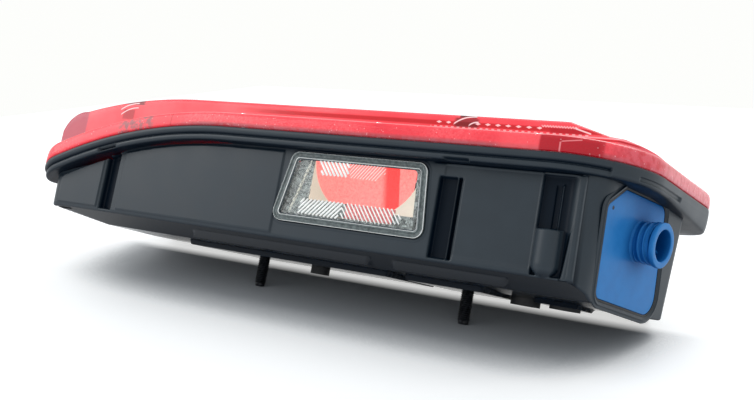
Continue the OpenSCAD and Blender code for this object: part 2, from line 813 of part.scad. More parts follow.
// Metallised reflector: a plate under the lens with a bowl around each bulb
module reflector(room, bulbs) {
    drop = reflector_drops[room];
    difference() {
        union() {
            difference() {
                chamber(rooms()[room], drop);
                below(-drop - reflector_t);
            }
            intersection() {
                for (b = bulbs) bowl(b, bowl_low, bowl_foot, bowl_rims[room]);
                below(-drop);
            }
        }
        for (b = bulbs) bowl(b, bowl_low - join, bowl_foot - reflector_t, bowl_rims[room] - reflector_t);
        // Room for the light box
        window_seat(window_rim - box_t - 1, [-reach, box_back + 1]);
    }
}
// Cone of a bowl, from its foot up to the parting line
module bowl(at, foot_z, foot_r1, rim)
    translate([at.x, at.y, foot_z])
        cylinder(r1 = foot_r1, r2 = rim, h = parting_z - foot_z, $fn = fine);
module indicator_reflector() color([0.8, 0.8, 0.82]) reflector(0, [indicator_at]);
module tail_stop_reflector() color([0.8, 0.8, 0.82]) reflector(1, [stop_at, tail_at]);
module fog_reverse_reflector() color([0.8, 0.8, 0.82]) reflector(2, [fog_at, reverse_at]);

function carrier_feet() = [for (x = feet_x, s = [-1, 1]) [x, s * (carrier_half - foot_r)]];
// Board that carries the bulb holders of one chamber
module carrier(x, bulbs)
    color([0.25, 0.25, 0.26])
    difference() {
        plan_view(rounded(rect(x, [-carrier_half, carrier_half]), [for (i = [0:3]) foot_r]),
            [carrier_z, carrier_z + carrier_t]);
        for (b = bulbs) post(b, base_r - 1, [0, reach]);
    }
module indicator_carrier() carrier(carriers[0], [indicator_at]);
module tail_stop_carrier() carrier(carriers[1], [stop_at, tail_at]);
module fog_reverse_carrier() carrier(carriers[2], [fog_at, reverse_at]);
module holder(at)
    color([0.2, 0.2, 0.21])
    difference() {
        post(at, holder_r, [carrier_z + carrier_t, holder_top]);
        post(at, base_r + seat_gap, [carrier_z, holder_top + 1]);
    }
module indicator_holder() holder(indicator_at);
module stop_holder() holder(stop_at);
module tail_holder() holder(tail_at);
module fog_holder() holder(fog_at);
module reverse_holder() holder(reverse_at);
// Bulb with its metal base, its glass and the round end of the glass
module bulb(at, tint, less) {
    r = glass_r - less[0];
    h = bulb_h - less[1];
    glass_low = holder_h + base_above - glass_over;
    neck = neck_share * r;
    color(tint)
    translate([at.x, at.y, carrier_z + carrier_t]) {
        cylinder(r = base_r, h = holder_h + base_above, $fn = fine);
        translate([0, 0, glass_low])
            cylinder(r1 = base_r - glass_over, r2 = r, h = neck, $fn = fine);
        translate([0, 0, glass_low + neck]) cylinder(r = r, h = h - glass_low - neck - r, $fn = fine);
        translate([0, 0, h - r]) sphere(r = r, $fn = fine);
    }
}
module indicator_bulb() bulb(indicator_at, [0.95, 0.6, 0.15], indicator_less);
module stop_bulb() bulb(stop_at, [0.9, 0.92, 0.93], [0, 0]);
module tail_bulb() bulb(tail_at, [0.9, 0.92, 0.93], tail_less);
module fog_bulb() bulb(fog_at, [0.9, 0.92, 0.93], pair_less);
module reverse_bulb() bulb(reverse_at, [0.9, 0.92, 0.93], pair_less);
// Brass strips that run along the carriers to the connector end
module contact_strips()
    color([0.8, 0.65, 0.3])
    for (x = carriers, s = [-1, 1])
        block(x, [s * strip_half - strip_w / 2, s * strip_half + strip_w / 2],
            [carrier_z + carrier_t, carrier_z + carrier_t + strip_t]);

// Push-in rubber plug, whose round head hangs by drop below the face at seat
module plug(at, r, seat, drop)
    color([0.07, 0.07, 0.07]) {
        post(at, r - plug_lip, [seat - drop, belly_z + wall + 2]);
        post(at, r, [seat - drop, seat]);
    }
module vent_plug() plug(vent_at, plug_r, belly_z, 4.5);
module blank_plug() plug(blank_at, blank_r, 0, 4.8);
module cable_boot() plug(boot_at, plug_r, 0, 1.5);

rear_housing();
red_lens();
amber_panel();
clear_panel();
lens_seal();
lens_screws();
number_plate_window();
plate_light_box();
light_screen();
connector_plate();
connector_seal();
connector_pins();
stud_left();
stud_right();
indicator_reflector();
tail_stop_reflector();
fog_reverse_reflector();
indicator_carrier();
tail_stop_carrier();
fog_reverse_carrier();
indicator_holder();
stop_holder();
tail_holder();
fog_holder();
reverse_holder();
indicator_bulb();
stop_bulb();
tail_bulb();
fog_bulb();
reverse_bulb();
contact_strips();
vent_plug();
blank_plug();
cable_boot();
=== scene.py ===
"""Rear lamp cluster: the looks around the fixed model. Piece sizes are in millimetres."""
import json
import math
import bmesh
import bpy
import numpy as np
from mathutils import Matrix, Vector


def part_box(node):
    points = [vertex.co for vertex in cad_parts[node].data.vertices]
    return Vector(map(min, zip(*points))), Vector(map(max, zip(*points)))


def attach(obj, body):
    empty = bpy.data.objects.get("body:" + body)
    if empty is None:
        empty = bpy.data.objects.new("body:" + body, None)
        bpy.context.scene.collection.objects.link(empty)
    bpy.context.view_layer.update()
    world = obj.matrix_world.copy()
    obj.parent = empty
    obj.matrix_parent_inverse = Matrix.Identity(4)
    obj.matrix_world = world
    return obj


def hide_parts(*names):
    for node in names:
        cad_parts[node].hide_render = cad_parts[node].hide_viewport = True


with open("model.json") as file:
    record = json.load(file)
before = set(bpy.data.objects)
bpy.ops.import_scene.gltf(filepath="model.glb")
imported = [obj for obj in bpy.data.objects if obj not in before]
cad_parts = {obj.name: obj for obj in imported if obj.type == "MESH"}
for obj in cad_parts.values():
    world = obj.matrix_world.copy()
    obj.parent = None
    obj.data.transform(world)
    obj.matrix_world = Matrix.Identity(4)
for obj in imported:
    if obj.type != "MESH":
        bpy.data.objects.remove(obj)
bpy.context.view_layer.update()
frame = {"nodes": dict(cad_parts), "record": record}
nodes = frame["nodes"]

MM = 0.001
TINY = 1e-9
# Points of one piece that lie closer than this become one, in metres
MERGE_DIST = 0.00002

# Flange: its ends and width come from the frame, the other sizes repeat the source's
house_low, house_high = [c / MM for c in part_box("rear_housing")]
LEFT = house_low.x
HALF = house_high.y
RIGHT_NEAR = 178.0
RIGHT_FAR = 206.0
FLANGE = [(LEFT, -HALF), (RIGHT_NEAR, -HALF), (RIGHT_FAR, HALF), (LEFT, HALF)]
FLANGE_RADII = [20.0, 54.0, 25.0, 20.0]
PARTING = 75.0
BEND_X = -70.0
BEND_R = 355.0
RIM_H = 9.0
WALL_IN = 10.0

# Body of the housing
BODY_HALF = HALF - WALL_IN
BODY_LEFT = LEFT + WALL_IN
BODY_RADII = [8.0, 16.0, 8.0, 12.0, 8.0]
LEAN = 2.5
FOOT_Z = 11.0
FAR_EDGE = 78.95
BEVEL_END = 172.0
UNDER_ACROSS = [0.0, 14.0, 53.5, 67.5, 90.0]
UNDER_Z = [2.0, 2.0, 3.5, 12.0, 25.7]
# Rise of the underside towards the left end: a place on it with its height, and its slope
RISE_X = -150.0
RISE_START = -0.5
RISE_SLOPE = 11.5 / 70.5
# Pads and raised steps of the underside: X from and to, Y from and to, and height
PADS = [(-112.0, 38.0, -38.0, 38.0, 0.0), (50.0, 98.0, -38.0, 38.0, 0.0), (122.0, 147.0, -18.0, 26.0, 0.0),
        (-92.0, 36.0, -61.0, 50.0, 4.0), (52.0, 118.0, -61.0, 50.0, 4.0)]
PANEL_GAP = 1.6

# Connector face: a point on it, its turn about Z and its draft
FACE_POINT = np.array([162.7, -50.0, 6.0])
FACE_TURN = math.radians(17)
FACE_DRAFT = math.radians(5)
FACE_OUT = np.array([math.cos(FACE_DRAFT) * math.cos(FACE_TURN),
                     -math.cos(FACE_DRAFT) * math.sin(FACE_TURN), -math.sin(FACE_DRAFT)])
FACE_ALONG = np.array([math.sin(FACE_TURN), math.cos(FACE_TURN), 0.0])
FACE_UP = np.cross(FACE_OUT, FACE_ALONG)
PLATE = [(-0.9, 0.4), (67.4, -3.4), (54.8, 58.9), (7.2, 58.9), (-8.4, 47.6)]
PLATE_RADII = [5.0, 10.0, 7.0, 3.0, 4.0]
PLATE_SUNK = 0.4
SHELL_AT = (33.5, 35.5)
SHELL_R = 10.75
MOUTH_R = 12.25
BORE_R = 8.65
SHELL_LEN = 13.0
RIDGE_PITCH = 3.2

# Lens
SKIRT_H = 9.0
CROWN_Z = 95.0
CROWN_SIDE = HALF - 15.5
CROWN_ROUND = 3.0
CROWN_EDGE = 4.0
NOSE_X = -209.0
NOSE_R = 20.0
CROWN_BEND_X = -110.0
CROWN_BEND_R = 365.0
SLOPE_X = [139.0, 160.0, 206.0]
SLOPE_Z = [95.0, 88.5, 82.2]
LENS_T = 2.2

# Number plate window
WINDOW = [(-30.5, 22.0), (70.5, 22.0), (66.5, 64.5), (-22.0, 64.5)]
WINDOW_RADII = [6.0, 6.0, 6.0, 6.0]
WINDOW_FRONT = 1.2
WINDOW_BACK = -1.5

# Studs
STUD_X = 76.0
STUD_R = 4.0
STUD_LEN = 20.0
THREAD_PITCH = 1.25


def smooth(x):
    """Smooth step from 0 to 1."""
    x = np.clip(x, 0, 1)
    return x * x * (3 - 2 * x)


def bump_between(x, low, high, soft):
    """1 between low and high, with soft edges of that width inside them."""
    return smooth((x - low) / soft) * smooth((high - x) / soft)


def level_z(x, d):
    """Height of the curve that runs parallel to the parting line, d above it."""
    x = np.asarray(x, float)
    run = np.clip(BEND_X - x, 0, BEND_R + d - 1)
    return PARTING - BEND_R + np.sqrt((BEND_R + d) ** 2 - run ** 2)


def outline(points, radii, corner=16, spacing=2.0, lengths=None):
    """Rounded outline, counter clockwise, with its inward normals."""
    points = [np.array(p, float) for p in points]
    places, normals = [], []
    n = len(points)
    arcs = []
    for i in range(n):
        a, b, c = points[i - 1], points[i], points[(i + 1) % n]
        u, v = (b - a) / np.linalg.norm(b - a), (c - b) / np.linalg.norm(c - b)
        n1, n2 = np.array([-u[1], u[0]]), np.array([-v[1], v[0]])
        middle = b + radii[i] * (n1 + n2) / (1 + n1 @ n2)
        turn = math.atan2(u[0] * v[1] - u[1] * v[0], u @ v)
        start = math.atan2(-n1[1], -n1[0])
        angles = start + turn * np.linspace(0, 1, corner + 1)
        rim = np.stack([np.cos(angles), np.sin(angles)], 1)
        arcs.append((middle + radii[i] * rim, -rim))
    for i in range(n):
        places.append(arcs[i][0])
        normals.append(arcs[i][1])
        here, there = arcs[i][0][-1], arcs[(i + 1) % n][0][0]
        k = lengths[i] if lengths else max(2, int(np.linalg.norm(there - here) / spacing))
        t = np.linspace(0, 1, k + 1)[1:-1, None]
        places.append(here + (there - here) * t)
        normals.append(np.repeat(arcs[i][1][-1:], k - 1, 0))
    return np.concatenate(places), np.concatenate(normals)


def signed_distance(points, pts, radii):
    """Distance to a rounded outline, negative inside it."""
    edge = outline(pts, radii, corner=8, spacing=3.0)[0]
    nxt = np.roll(edge, -1, 0)
    best = np.full(len(points), np.inf)
    inside = np.zeros(len(points), bool)
    for a, b in zip(edge, nxt):
        e = b - a
        t = np.clip(((points - a) @ e) / max(e @ e, TINY), 0, 1)
        best = np.minimum(best, np.linalg.norm(points - a - t[:, None] * e, axis=1))
        if a[1] != b[1]:
            cross = (a[1] > points[:, 1]) != (b[1] > points[:, 1])
            at = a[0] + (points[:, 1] - a[1]) / (b[1] - a[1]) * (b[0] - a[0])
            inside ^= cross & (points[:, 0] < at)
    return np.where(inside, -best, best)


def add_mesh(name, points, faces, material, replaced=None, merge=False, sharp=None):
    """Mesh piece of points in millimetres, riding on the lamp."""
    mesh = bpy.data.meshes.new(name)
    mesh.from_pydata((np.asarray(points) * MM).tolist(), [], faces)
    if merge:
        shape = bmesh.new()
        shape.from_mesh(mesh)
        bmesh.ops.remove_doubles(shape, verts=shape.verts, dist=MERGE_DIST)
        bmesh.ops.recalc_face_normals(shape, faces=shape.faces)
        shape.to_mesh(mesh)
        shape.free()
    mesh.update()
    mesh.polygons.foreach_set("use_smooth", [True] * len(mesh.polygons))
    if sharp:
        mesh.set_sharp_from_angle(angle=math.radians(sharp))
    mesh.materials.append(material)
    piece = bpy.data.objects.new(name, mesh)
    bpy.context.scene.collection.objects.link(piece)
    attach(piece, "root")
    if replaced:
        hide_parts(*replaced)
    return piece


def grid_faces(rows, columns, ring=False, turned=False, keep=None):
    """Quads of a grid of points that is stored row by row."""
    last = columns if ring else columns - 1
    i, j = np.meshgrid(np.arange(rows - 1), np.arange(last), indexing="ij")
    a = (i * columns + j).ravel()
    b = (i * columns + (j + 1) % columns).ravel()
    quads = np.stack([a, b, b + columns, a + columns], 1)
    if turned:
        quads = quads[:, ::-1]
    if keep is not None:
        quads = quads[keep.ravel()]
    return quads.tolist()


def sweep(name, path, profile, place, material, replaced=None, closed=False, sharp=None):
    """Profile of (inset, height) pairs, swept along a closed outline."""
    points, normals = path
    rows = [place(points + normals * inset, height) for inset, height in profile]
    if closed:
        rows.append(rows[0])
    rows = np.array(rows)
    faces = grid_faces(len(rows), len(points), ring=True, turned=True)
    return add_mesh(name, rows.reshape(-1, 3), faces, material, replaced, merge=closed, sharp=sharp)


def on_face(yz, out):
    """Points drawn on the connector face, at a height above it."""
    yz = np.asarray(yz, float)
    out = np.asarray(out, float)
    if out.ndim:
        out = out[:, None]
    return FACE_POINT + yz[:, :1] * FACE_ALONG + yz[:, 1:2] * FACE_UP + out * FACE_OUT


def on_near_wall(xz, out):
    """Points drawn on the near wall in X and Z, at a height above it."""
    return np.column_stack([xz[:, 0], np.full(len(xz), -BODY_HALF) - out, xz[:, 1]])


def soft_box(name, centre, axes, half, round_r, material, replaced=None, steps=6, crowding=0.6):
    """Box with rounded edges and corners; the power crowding draws its points towards the edges."""
    half = np.array(half, float)
    t = np.linspace(-1, 1, steps + 1)
    t = np.sign(t) * np.abs(t) ** crowding
    points, faces = [], []
    for k in range(3):
        for side in (-1, 1):
            u, v = np.meshgrid(t, t, indexing="ij")
            local = np.zeros((steps + 1, steps + 1, 3))
            local[..., k] = side
            local[..., (k + 1) % 3] = u
            local[..., (k + 2) % 3] = v
            first = len(points) * (steps + 1) ** 2
            points.append(local.reshape(-1, 3) * half)
            faces += [[i + first for i in f]
                      for f in grid_faces(steps + 1, steps + 1, turned=side < 0)]
    points = np.concatenate(points)
    core = np.clip(points, -(half - round_r), half - round_r)
    away = points - core
    points = core + round_r * away / np.maximum(np.linalg.norm(away, axis=1, keepdims=True), TINY)
    points = np.array(centre, float) + points @ np.array(axes, float)
    return add_mesh(name, points, faces, material, replaced, merge=True)


def turned_piece(name, radius, heights, centre, axes, columns, material, replaced=None,
                 sharp=None):
    """Piece turned about an axis; radius(height row, angle) may change around it."""
    angle = np.linspace(0, 2 * np.pi, columns, endpoint=False)
    rows = []
    for k, h in enumerate(heights):
        r = radius(k, h, angle)
        local = np.column_stack([r * np.cos(angle), r * np.sin(angle), np.full(columns, float(h))])
        rows.append(np.array(centre) + local @ np.array(axes))
    rows = np.array(rows)
    faces = grid_faces(len(rows), columns, ring=True)
    return add_mesh(name, rows.reshape(-1, 3), faces, material, replaced, merge=True, sharp=sharp)


# Materials: shared effects

# Where a Mix node has its first value, its second value and its result, by its kind
MIX_PLACES = {"RGBA": (6, 7, 2), "VECTOR": (4, 5, 1)}


def new_group(name, inputs, outputs):
    """Shader node group with its sockets, and its input and output nodes."""
    group = bpy.data.node_groups.new(name, "ShaderNodeTree")
    for label, kind, value in inputs:
        socket = group.interface.new_socket(label, in_out="INPUT", socket_type=kind)
        if value is not None:
            socket.default_value = value
    for label, kind in outputs:
        group.interface.new_socket(label, in_out="OUTPUT", socket_type=kind)
    start = group.nodes.new("NodeGroupInput")
    end = group.nodes.new("NodeGroupOutput")
    return group, start, end


def add_node(tree, kind, inputs=None, **values):
    """Node whose sockets are linked or set, as their values ask."""
    node = tree.nodes.new(kind)
    for key, value in values.items():
        setattr(node, key, value)
    for key, value in (inputs or {}).items():
        socket = node.inputs[key]
        if isinstance(value, bpy.types.NodeSocket):
            tree.links.new(value, socket)
        else:
            socket.default_value = value
    return node


def ramp(tree, value, low, high):
    """Value mapped from low..high to 0..1 and held there."""
    node = add_node(tree, "ShaderNodeMapRange", {"Value": value, "From Min": low, "From Max": high})
    return node.outputs["Result"]


def blend(tree, share, first, second, kind="RGBA"):
    """Mix of two colours or two vectors."""
    first_at, second_at, result_at = MIX_PLACES[kind]
    node = add_node(tree, "ShaderNodeMix", data_type=kind)
    for index, value in ((0, share), (first_at, first), (second_at, second)):
        if isinstance(value, bpy.types.NodeSocket):
            tree.links.new(value, node.inputs[index])
        else:
            node.inputs[index].default_value = value
    return node.outputs[result_at]


def calc(tree, operation, first, second=0.0):
    return add_node(tree, "ShaderNodeMath", {0: first, 1: second}, operation=operation).outputs[0]


def times(tree, first, second):
    return calc(tree, "MULTIPLY", first, second)


def mix_shaders(tree, share, first, second, output):
    """Surface of a material or world: the first shader, and the second where the share is 1."""
    mix = add_node(tree, "ShaderNodeMixShader", {0: share, 1: first.outputs[0], 2: second.outputs[0]})
    tree.links.new(mix.outputs[0], tree.nodes[output].inputs["Surface"])


def parts_of(tree, vector):
    """X, Y and Z of a vector."""
    return add_node(tree, "ShaderNodeSeparateXYZ", {"Vector": vector}).outputs


def make_grain_group():
    """Fine moulded grain: a normal, and a slow mottling mask."""
    group, start, end = new_group(
        "moulded_grain", [("Scale", "NodeSocketFloat", 2500.0), ("Height", "NodeSocketFloat", 0.00002),
                          ("Mottle Scale", "NodeSocketFloat", 60.0)],
        [("Normal", "NodeSocketVector"), ("Mottle", "NodeSocketFloat"), ("Fine", "NodeSocketFloat")])
    place = add_node(group, "ShaderNodeTexCoord").outputs["Object"]
    fine = add_node(group, "ShaderNodeTexNoise",
                    {"Vector": place, "Scale": start.outputs["Scale"], "Detail": 3.0, "Roughness": 0.6})
    slow = add_node(group, "ShaderNodeTexNoise",
                    {"Vector": place, "Scale": start.outputs["Mottle Scale"], "Detail": 4.0})
    bump = add_node(group, "ShaderNodeBump",
                    {"Height": fine.outputs["Fac"], "Distance": start.outputs["Height"], "Strength": 1.0})
    group.links.new(bump.outputs["Normal"], end.inputs["Normal"])
    group.links.new(ramp(group, slow.outputs["Fac"], 0.35, 0.65), end.inputs["Mottle"])
    group.links.new(ramp(group, fine.outputs["Fac"], 0.3, 0.7), end.inputs["Fine"])
    return group


def make_pebble_group():
    """Cells like moulded prisms: a normal, a painted glint spot in some cells, and the cells' pattern."""
    group, start, end = new_group(
        "prism_cells", [("Scale", "NodeSocketFloat", 450.0), ("Height", "NodeSocketFloat", 0.0004),
                        ("Spots", "NodeSocketFloat", 0.8)],
        [("Normal", "NodeSocketVector"), ("Spot", "NodeSocketFloat"), ("Cell", "NodeSocketFloat")])
    place = add_node(group, "ShaderNodeTexCoord").outputs["Object"]
    cells = add_node(group, "ShaderNodeTexVoronoi",
                     {"Vector": place, "Scale": start.outputs["Scale"], "Randomness": 0.75})
    bump = add_node(group, "ShaderNodeBump",
                    {"Height": cells.outputs["Distance"], "Distance": start.outputs["Height"],
                     "Strength": 0.8})
    tone = add_node(group, "ShaderNodeSeparateColor", {"Color": cells.outputs["Color"]})
    chosen = calc(group, "GREATER_THAN", tone.outputs["Red"], start.outputs["Spots"])
    middle = ramp(group, cells.outputs["Distance"], 0.42, 0.12)
    group.links.new(times(group, chosen, middle), end.inputs["Spot"])
    group.links.new(bump.outputs["Normal"], end.inputs["Normal"])
    group.links.new(tone.outputs["Green"], end.inputs["Cell"])
    return group


def make_open_group():
    """How open a place is to its surroundings: 0 in a recess, 1 out on a face."""
    group, start, end = new_group(
        "open_share", [("Reach", "NodeSocketFloat", 0.012), ("Low", "NodeSocketFloat", 0.35),
                       ("High", "NodeSocketFloat", 0.9)],
        [("Open", "NodeSocketFloat")])
    shade = add_node(group, "ShaderNodeAmbientOcclusion", {"Distance": start.outputs["Reach"]}, samples=8)
    group.links.new(ramp(group, shade.outputs["AO"], start.outputs["Low"], start.outputs["High"]),
                    end.inputs["Open"])
    return group


GRAIN = make_grain_group()
PRISMS = make_pebble_group()
OPEN_SHARE = make_open_group()


def new_material(name):
    material = bpy.data.materials.new(name)
    material.use_nodes = True
    tree = material.node_tree
    return material, tree, tree.nodes["Principled BSDF"]


def use_group(tree, group, **values):
    node = tree.nodes.new("ShaderNodeGroup")
    node.node_tree = group
    for key, value in values.items():
        node.inputs[key.replace("_", " ")].default_value = value
    return node


def set_inputs(shader, values):
    for key, value in values.items():
        shader.inputs[key].default_value = value


def grained(name, dark, light, rough, height=0.00002, scale=2500.0, mottle=60.0, painted_shade=None, reach=0.012,
            open_low=0.35, open_high=0.9, glow=0.0, **more):
    """Moulded or machined surface: two close tones, uneven gloss and a fine grain; with painted_shade,
    painted shade darkens recesses and faces turned down and dims their gloss, and with glow the tone glows
    as painted light.
    """
    material, tree, shader = new_material(name)
    set_inputs(shader, {key.replace("_", " "): value for key, value in more.items()})
    grain = use_group(tree, GRAIN, Scale=scale, Height=height, Mottle_Scale=mottle)
    tree.links.new(grain.outputs["Normal"], shader.inputs["Normal"])
    tone = blend(tree, grain.outputs["Mottle"], (*dark, 1), (*light, 1))
    if painted_shade:
        # Painted shade: closed-in places and faces turned down take the darker tone and lose gloss
        shade = use_group(tree, OPEN_SHARE, Reach=reach, Low=open_low, High=open_high).outputs["Open"]
        facing = parts_of(tree, add_node(tree, "ShaderNodeNewGeometry").outputs["Normal"])
        upright = ramp(tree, facing["Z"], -1.0, -0.4)
        lit = times(tree, shade, ramp(tree, upright, -0.3, 1.0))
        tone = blend(tree, lit, (*painted_shade, 1), tone)
        gleam = shader.inputs["Specular IOR Level"]
        tree.links.new(times(tree, lit, gleam.default_value), gleam)
    tree.links.new(tone, shader.inputs["Base Color"])
    if glow:
        tree.links.new(tone, shader.inputs["Emission Color"])
        set_inputs(shader, {"Emission Strength": glow})
    gloss = add_node(tree, "ShaderNodeMapRange",
                     {"Value": grain.outputs["Mottle"], "To Min": rough[0], "To Max": rough[1]})
    tree.links.new(gloss.outputs["Result"], shader.inputs["Roughness"])
    return material


def let_light_in(tree, shader, tint):
    """Shadow rays pass a clear piece, coloured by its tint."""
    clear = add_node(tree, "ShaderNodeBsdfTransparent", {"Color": (*tint, 1)})
    shadow = add_node(tree, "ShaderNodeLightPath").outputs["Is Shadow Ray"]
    mix_shaders(tree, shadow, shader, clear, "Material Output")


ROUGH_SPREAD = 1.8
CLEAR_MOTTLE = 80.0


def clear_plastic(name, tint, shadow_tint, rough=0.04, transmission=1.0, bump=0.00001, ior=1.49,
                  scale=300.0, spread=1.05, glow=0.0):
    """Clear moulding: a fine ripple, two close tints and uneven gloss, and a painted glow where glow is
    set.
    """
    material, tree, shader = new_material(name)
    set_inputs(shader, {"Transmission Weight": transmission, "IOR": ior, "Emission Strength": glow,
                        "Emission Color": (*tint, 1)})
    grain = use_group(tree, GRAIN, Scale=scale, Height=bump, Mottle_Scale=CLEAR_MOTTLE)
    tree.links.new(grain.outputs["Normal"], shader.inputs["Normal"])
    tone = blend(tree, grain.outputs["Fine"], (*tint, 1), (*[min(1, c * spread) for c in tint], 1))
    tree.links.new(tone, shader.inputs["Base Color"])
    gloss = add_node(tree, "ShaderNodeMapRange",
                     {"Value": grain.outputs["Mottle"], "To Min": rough, "To Max": rough * ROUGH_SPREAD})
    tree.links.new(gloss.outputs["Result"], shader.inputs["Roughness"])
    let_light_in(tree, shader, shadow_tint)
    return material


def field(tree, axis_value, low, high, soft):
    """Mask of a stretch along one coordinate."""
    rise = ramp(tree, axis_value, low - soft, low)
    fall = ramp(tree, axis_value, high + soft, high)
    return times(tree, rise, fall)


def close_to(tree, value, target, half, soft):
    """Mask where a value lies within half of a target."""
    gap = calc(tree, "ABSOLUTE", calc(tree, "SUBTRACT", value, target))
    return ramp(tree, gap, half + soft, half)


# Colours of the lens, from its broad tones to its fine lines
RED_DEEP = (0.42, 0.003, 0.014, 1)
RED_FULL = (0.78, 0.04, 0.062, 1)
RED_PALE = (0.88, 0.11, 0.13, 1)
RED_DARK_LINE = (0.5, 0.012, 0.02, 1)
RED_NOSE = (0.42, 0.05, 0.085, 1)
RED_END = (0.62, 0.1, 0.13, 1)
GREY_PINK = (0.33, 0.1, 0.12, 1)
GREY_PATCH = (0.22, 0.09, 0.1, 1)
SMOKE = (0.03, 0.004, 0.006, 1)
PAINTED_HIGHLIGHT_PINK = (1.0, 0.4, 0.42, 1)
PAINTED_GLINT = (1.0, 0.8, 0.8, 1)
AMBER = (0.85, 0.22, 0.01, 1)
CLEAR_GREY = (0.62, 0.64, 0.66, 1)

# How a lens line fades: its ends across X, and across its own width
BROAD_FADE = 1.0
LINE_FADE = 0.3

# Stretches of the lens along X: from, to, and how softly they end
PATCH_X = (-156.0, -133.0, 5.0)
SEAM_LINE_X = (-115.0, -114.4, LINE_FADE)
PALE_X = (110.0, 130.0, 6.0)
BLOCK_X = (129.7, 160.0, BROAD_FADE)
TEETH_X = (125.0, 143.0, BROAD_FADE)
STREAK_X = (142.5, 150.5, 0.5)
ELL_FOOT_X = (140.5, 149.6, 0.5)
DIAMOND_FIELDS = [(63.0, 72.5, LINE_FADE), (86.5, 124.5, LINE_FADE)]

# Places along X where a tone comes in: nothing of it at the first, all of it at the second
LOW_EDGE_FROM = (-120.0, -90.0)
BAND_FROM = (-80.0, -45.0)
CREASE_FROM = (-70.0, -40.0)
NOSE_FROM = (-205.2, -207.0)
END_FROM = (160.0, 172.0)
BLOCK_FROM = (167.0, 158.0)

# The same for heights over the parting line, and for distances from the lens's middle
LOW_EDGE_LEVEL = (2.8, 0.8)
NOSE_LEVEL = (8.6, 9.2)
TOP_LEVEL = (9.0, 9.5)
SIDE_FROM = (50.0, 53.0)
SPOT_SIDE_FROM = (50.0, 56.0)
TOP_FROM = (50.0, 48.0)

# Windows in the near side: X from and to, Z from and to, and their fades in Z and in X
ELL_UPRIGHT = (139.5, 140.1, 74.5, 79.8, 0.3, 0.2)
DASH_ROW = (61.0, 150.0, 87.25, 87.7, 0.25, 0.6)
# Dark spots of the raised lens and of its upper edge: window, share and colour
CROWN_SPOTS = [((-173.0, -164.0, 78.0, 84.0, 1.0, 1.5), 0.95, RED_DEEP),
               ((130.0, 147.0, 88.0, 90.2, 0.6, 1.5), 0.9, RED_DEEP),
               ((76.0, 88.0, 88.0, 92.6, 0.8, 2.0), 0.65, SMOKE)]
EDGE_SPOTS = [((-175.0, -157.0, 88.7, 91.6, 0.8, 2.5), 0.8, SMOKE),
              ((77.7, 87.2, 93.3, 95.0, 0.5, 0.6), 0.9, SMOKE)]
# Fields in the lens's top: X, Y and colour
TOP_FIELDS = [((-208.0, -184.0), (-42.0, 42.0), AMBER), ((92.0, 124.0), (6.0, 46.0), CLEAR_GREY)]

# Lines: place, half width and fade
SKIRT_LINE = (SKIRT_H - 0.2, 0.35, 0.3)
CREASE_LIGHT = (86.8, 0.2, 0.25)
CREASE_DARK = (85.7, 0.25, 0.3)
DARK_BAND_Z = (88.6, 90.4, 0.8)
# Slanted lines: their slope along X, then their height at X 0, half width and fade
ELL_FOOT = (-0.19, 53.6, 0.22, 0.2)
STREAK = (0.29, 132.2, 0.25, 0.25)

# Rings in the lens, drawn as painted glints: centre in X and Z, radius, half width, and their stretch in X
LENS_RINGS = [((-159.5, 58.8), 30.5, 0.22, (-176.0, -161.0)),
              ((-160.0, 61.5), 24.6, 0.2, (-175.0, -161.0)),
              ((87.3, 74.6), 19.5, 0.25, (75.0, 87.0)),
              ((88.4, 84.1), 6.8, 0.22, (84.0, 88.5))]
RING_FADE = 0.25
RING_END_FADE = 0.8

# Row of diamonds: height, pitch, the place of one, and half its length and height
DIAMOND_Z = 90.0
DIAMOND_PITCH = 5.8
DIAMOND_AT = 88.7
DIAMOND_HALF = (1.7, 0.75)
DIAMOND_EDGE = (1.15, 0.75)
# Zigzag row: height, pitch, and the place, half width and fade of its line
TEETH_Z = 91.2
TEETH_PITCH = 1.5
TEETH_LINE = (0.4, 0.3, 0.25)
# Dashes: pitch, the place of a gap, and where a dash starts within its half pitch
DASH_PITCH = 3.4
DASH_AT = 62.0
DASH_START = (0.75, 1.05)


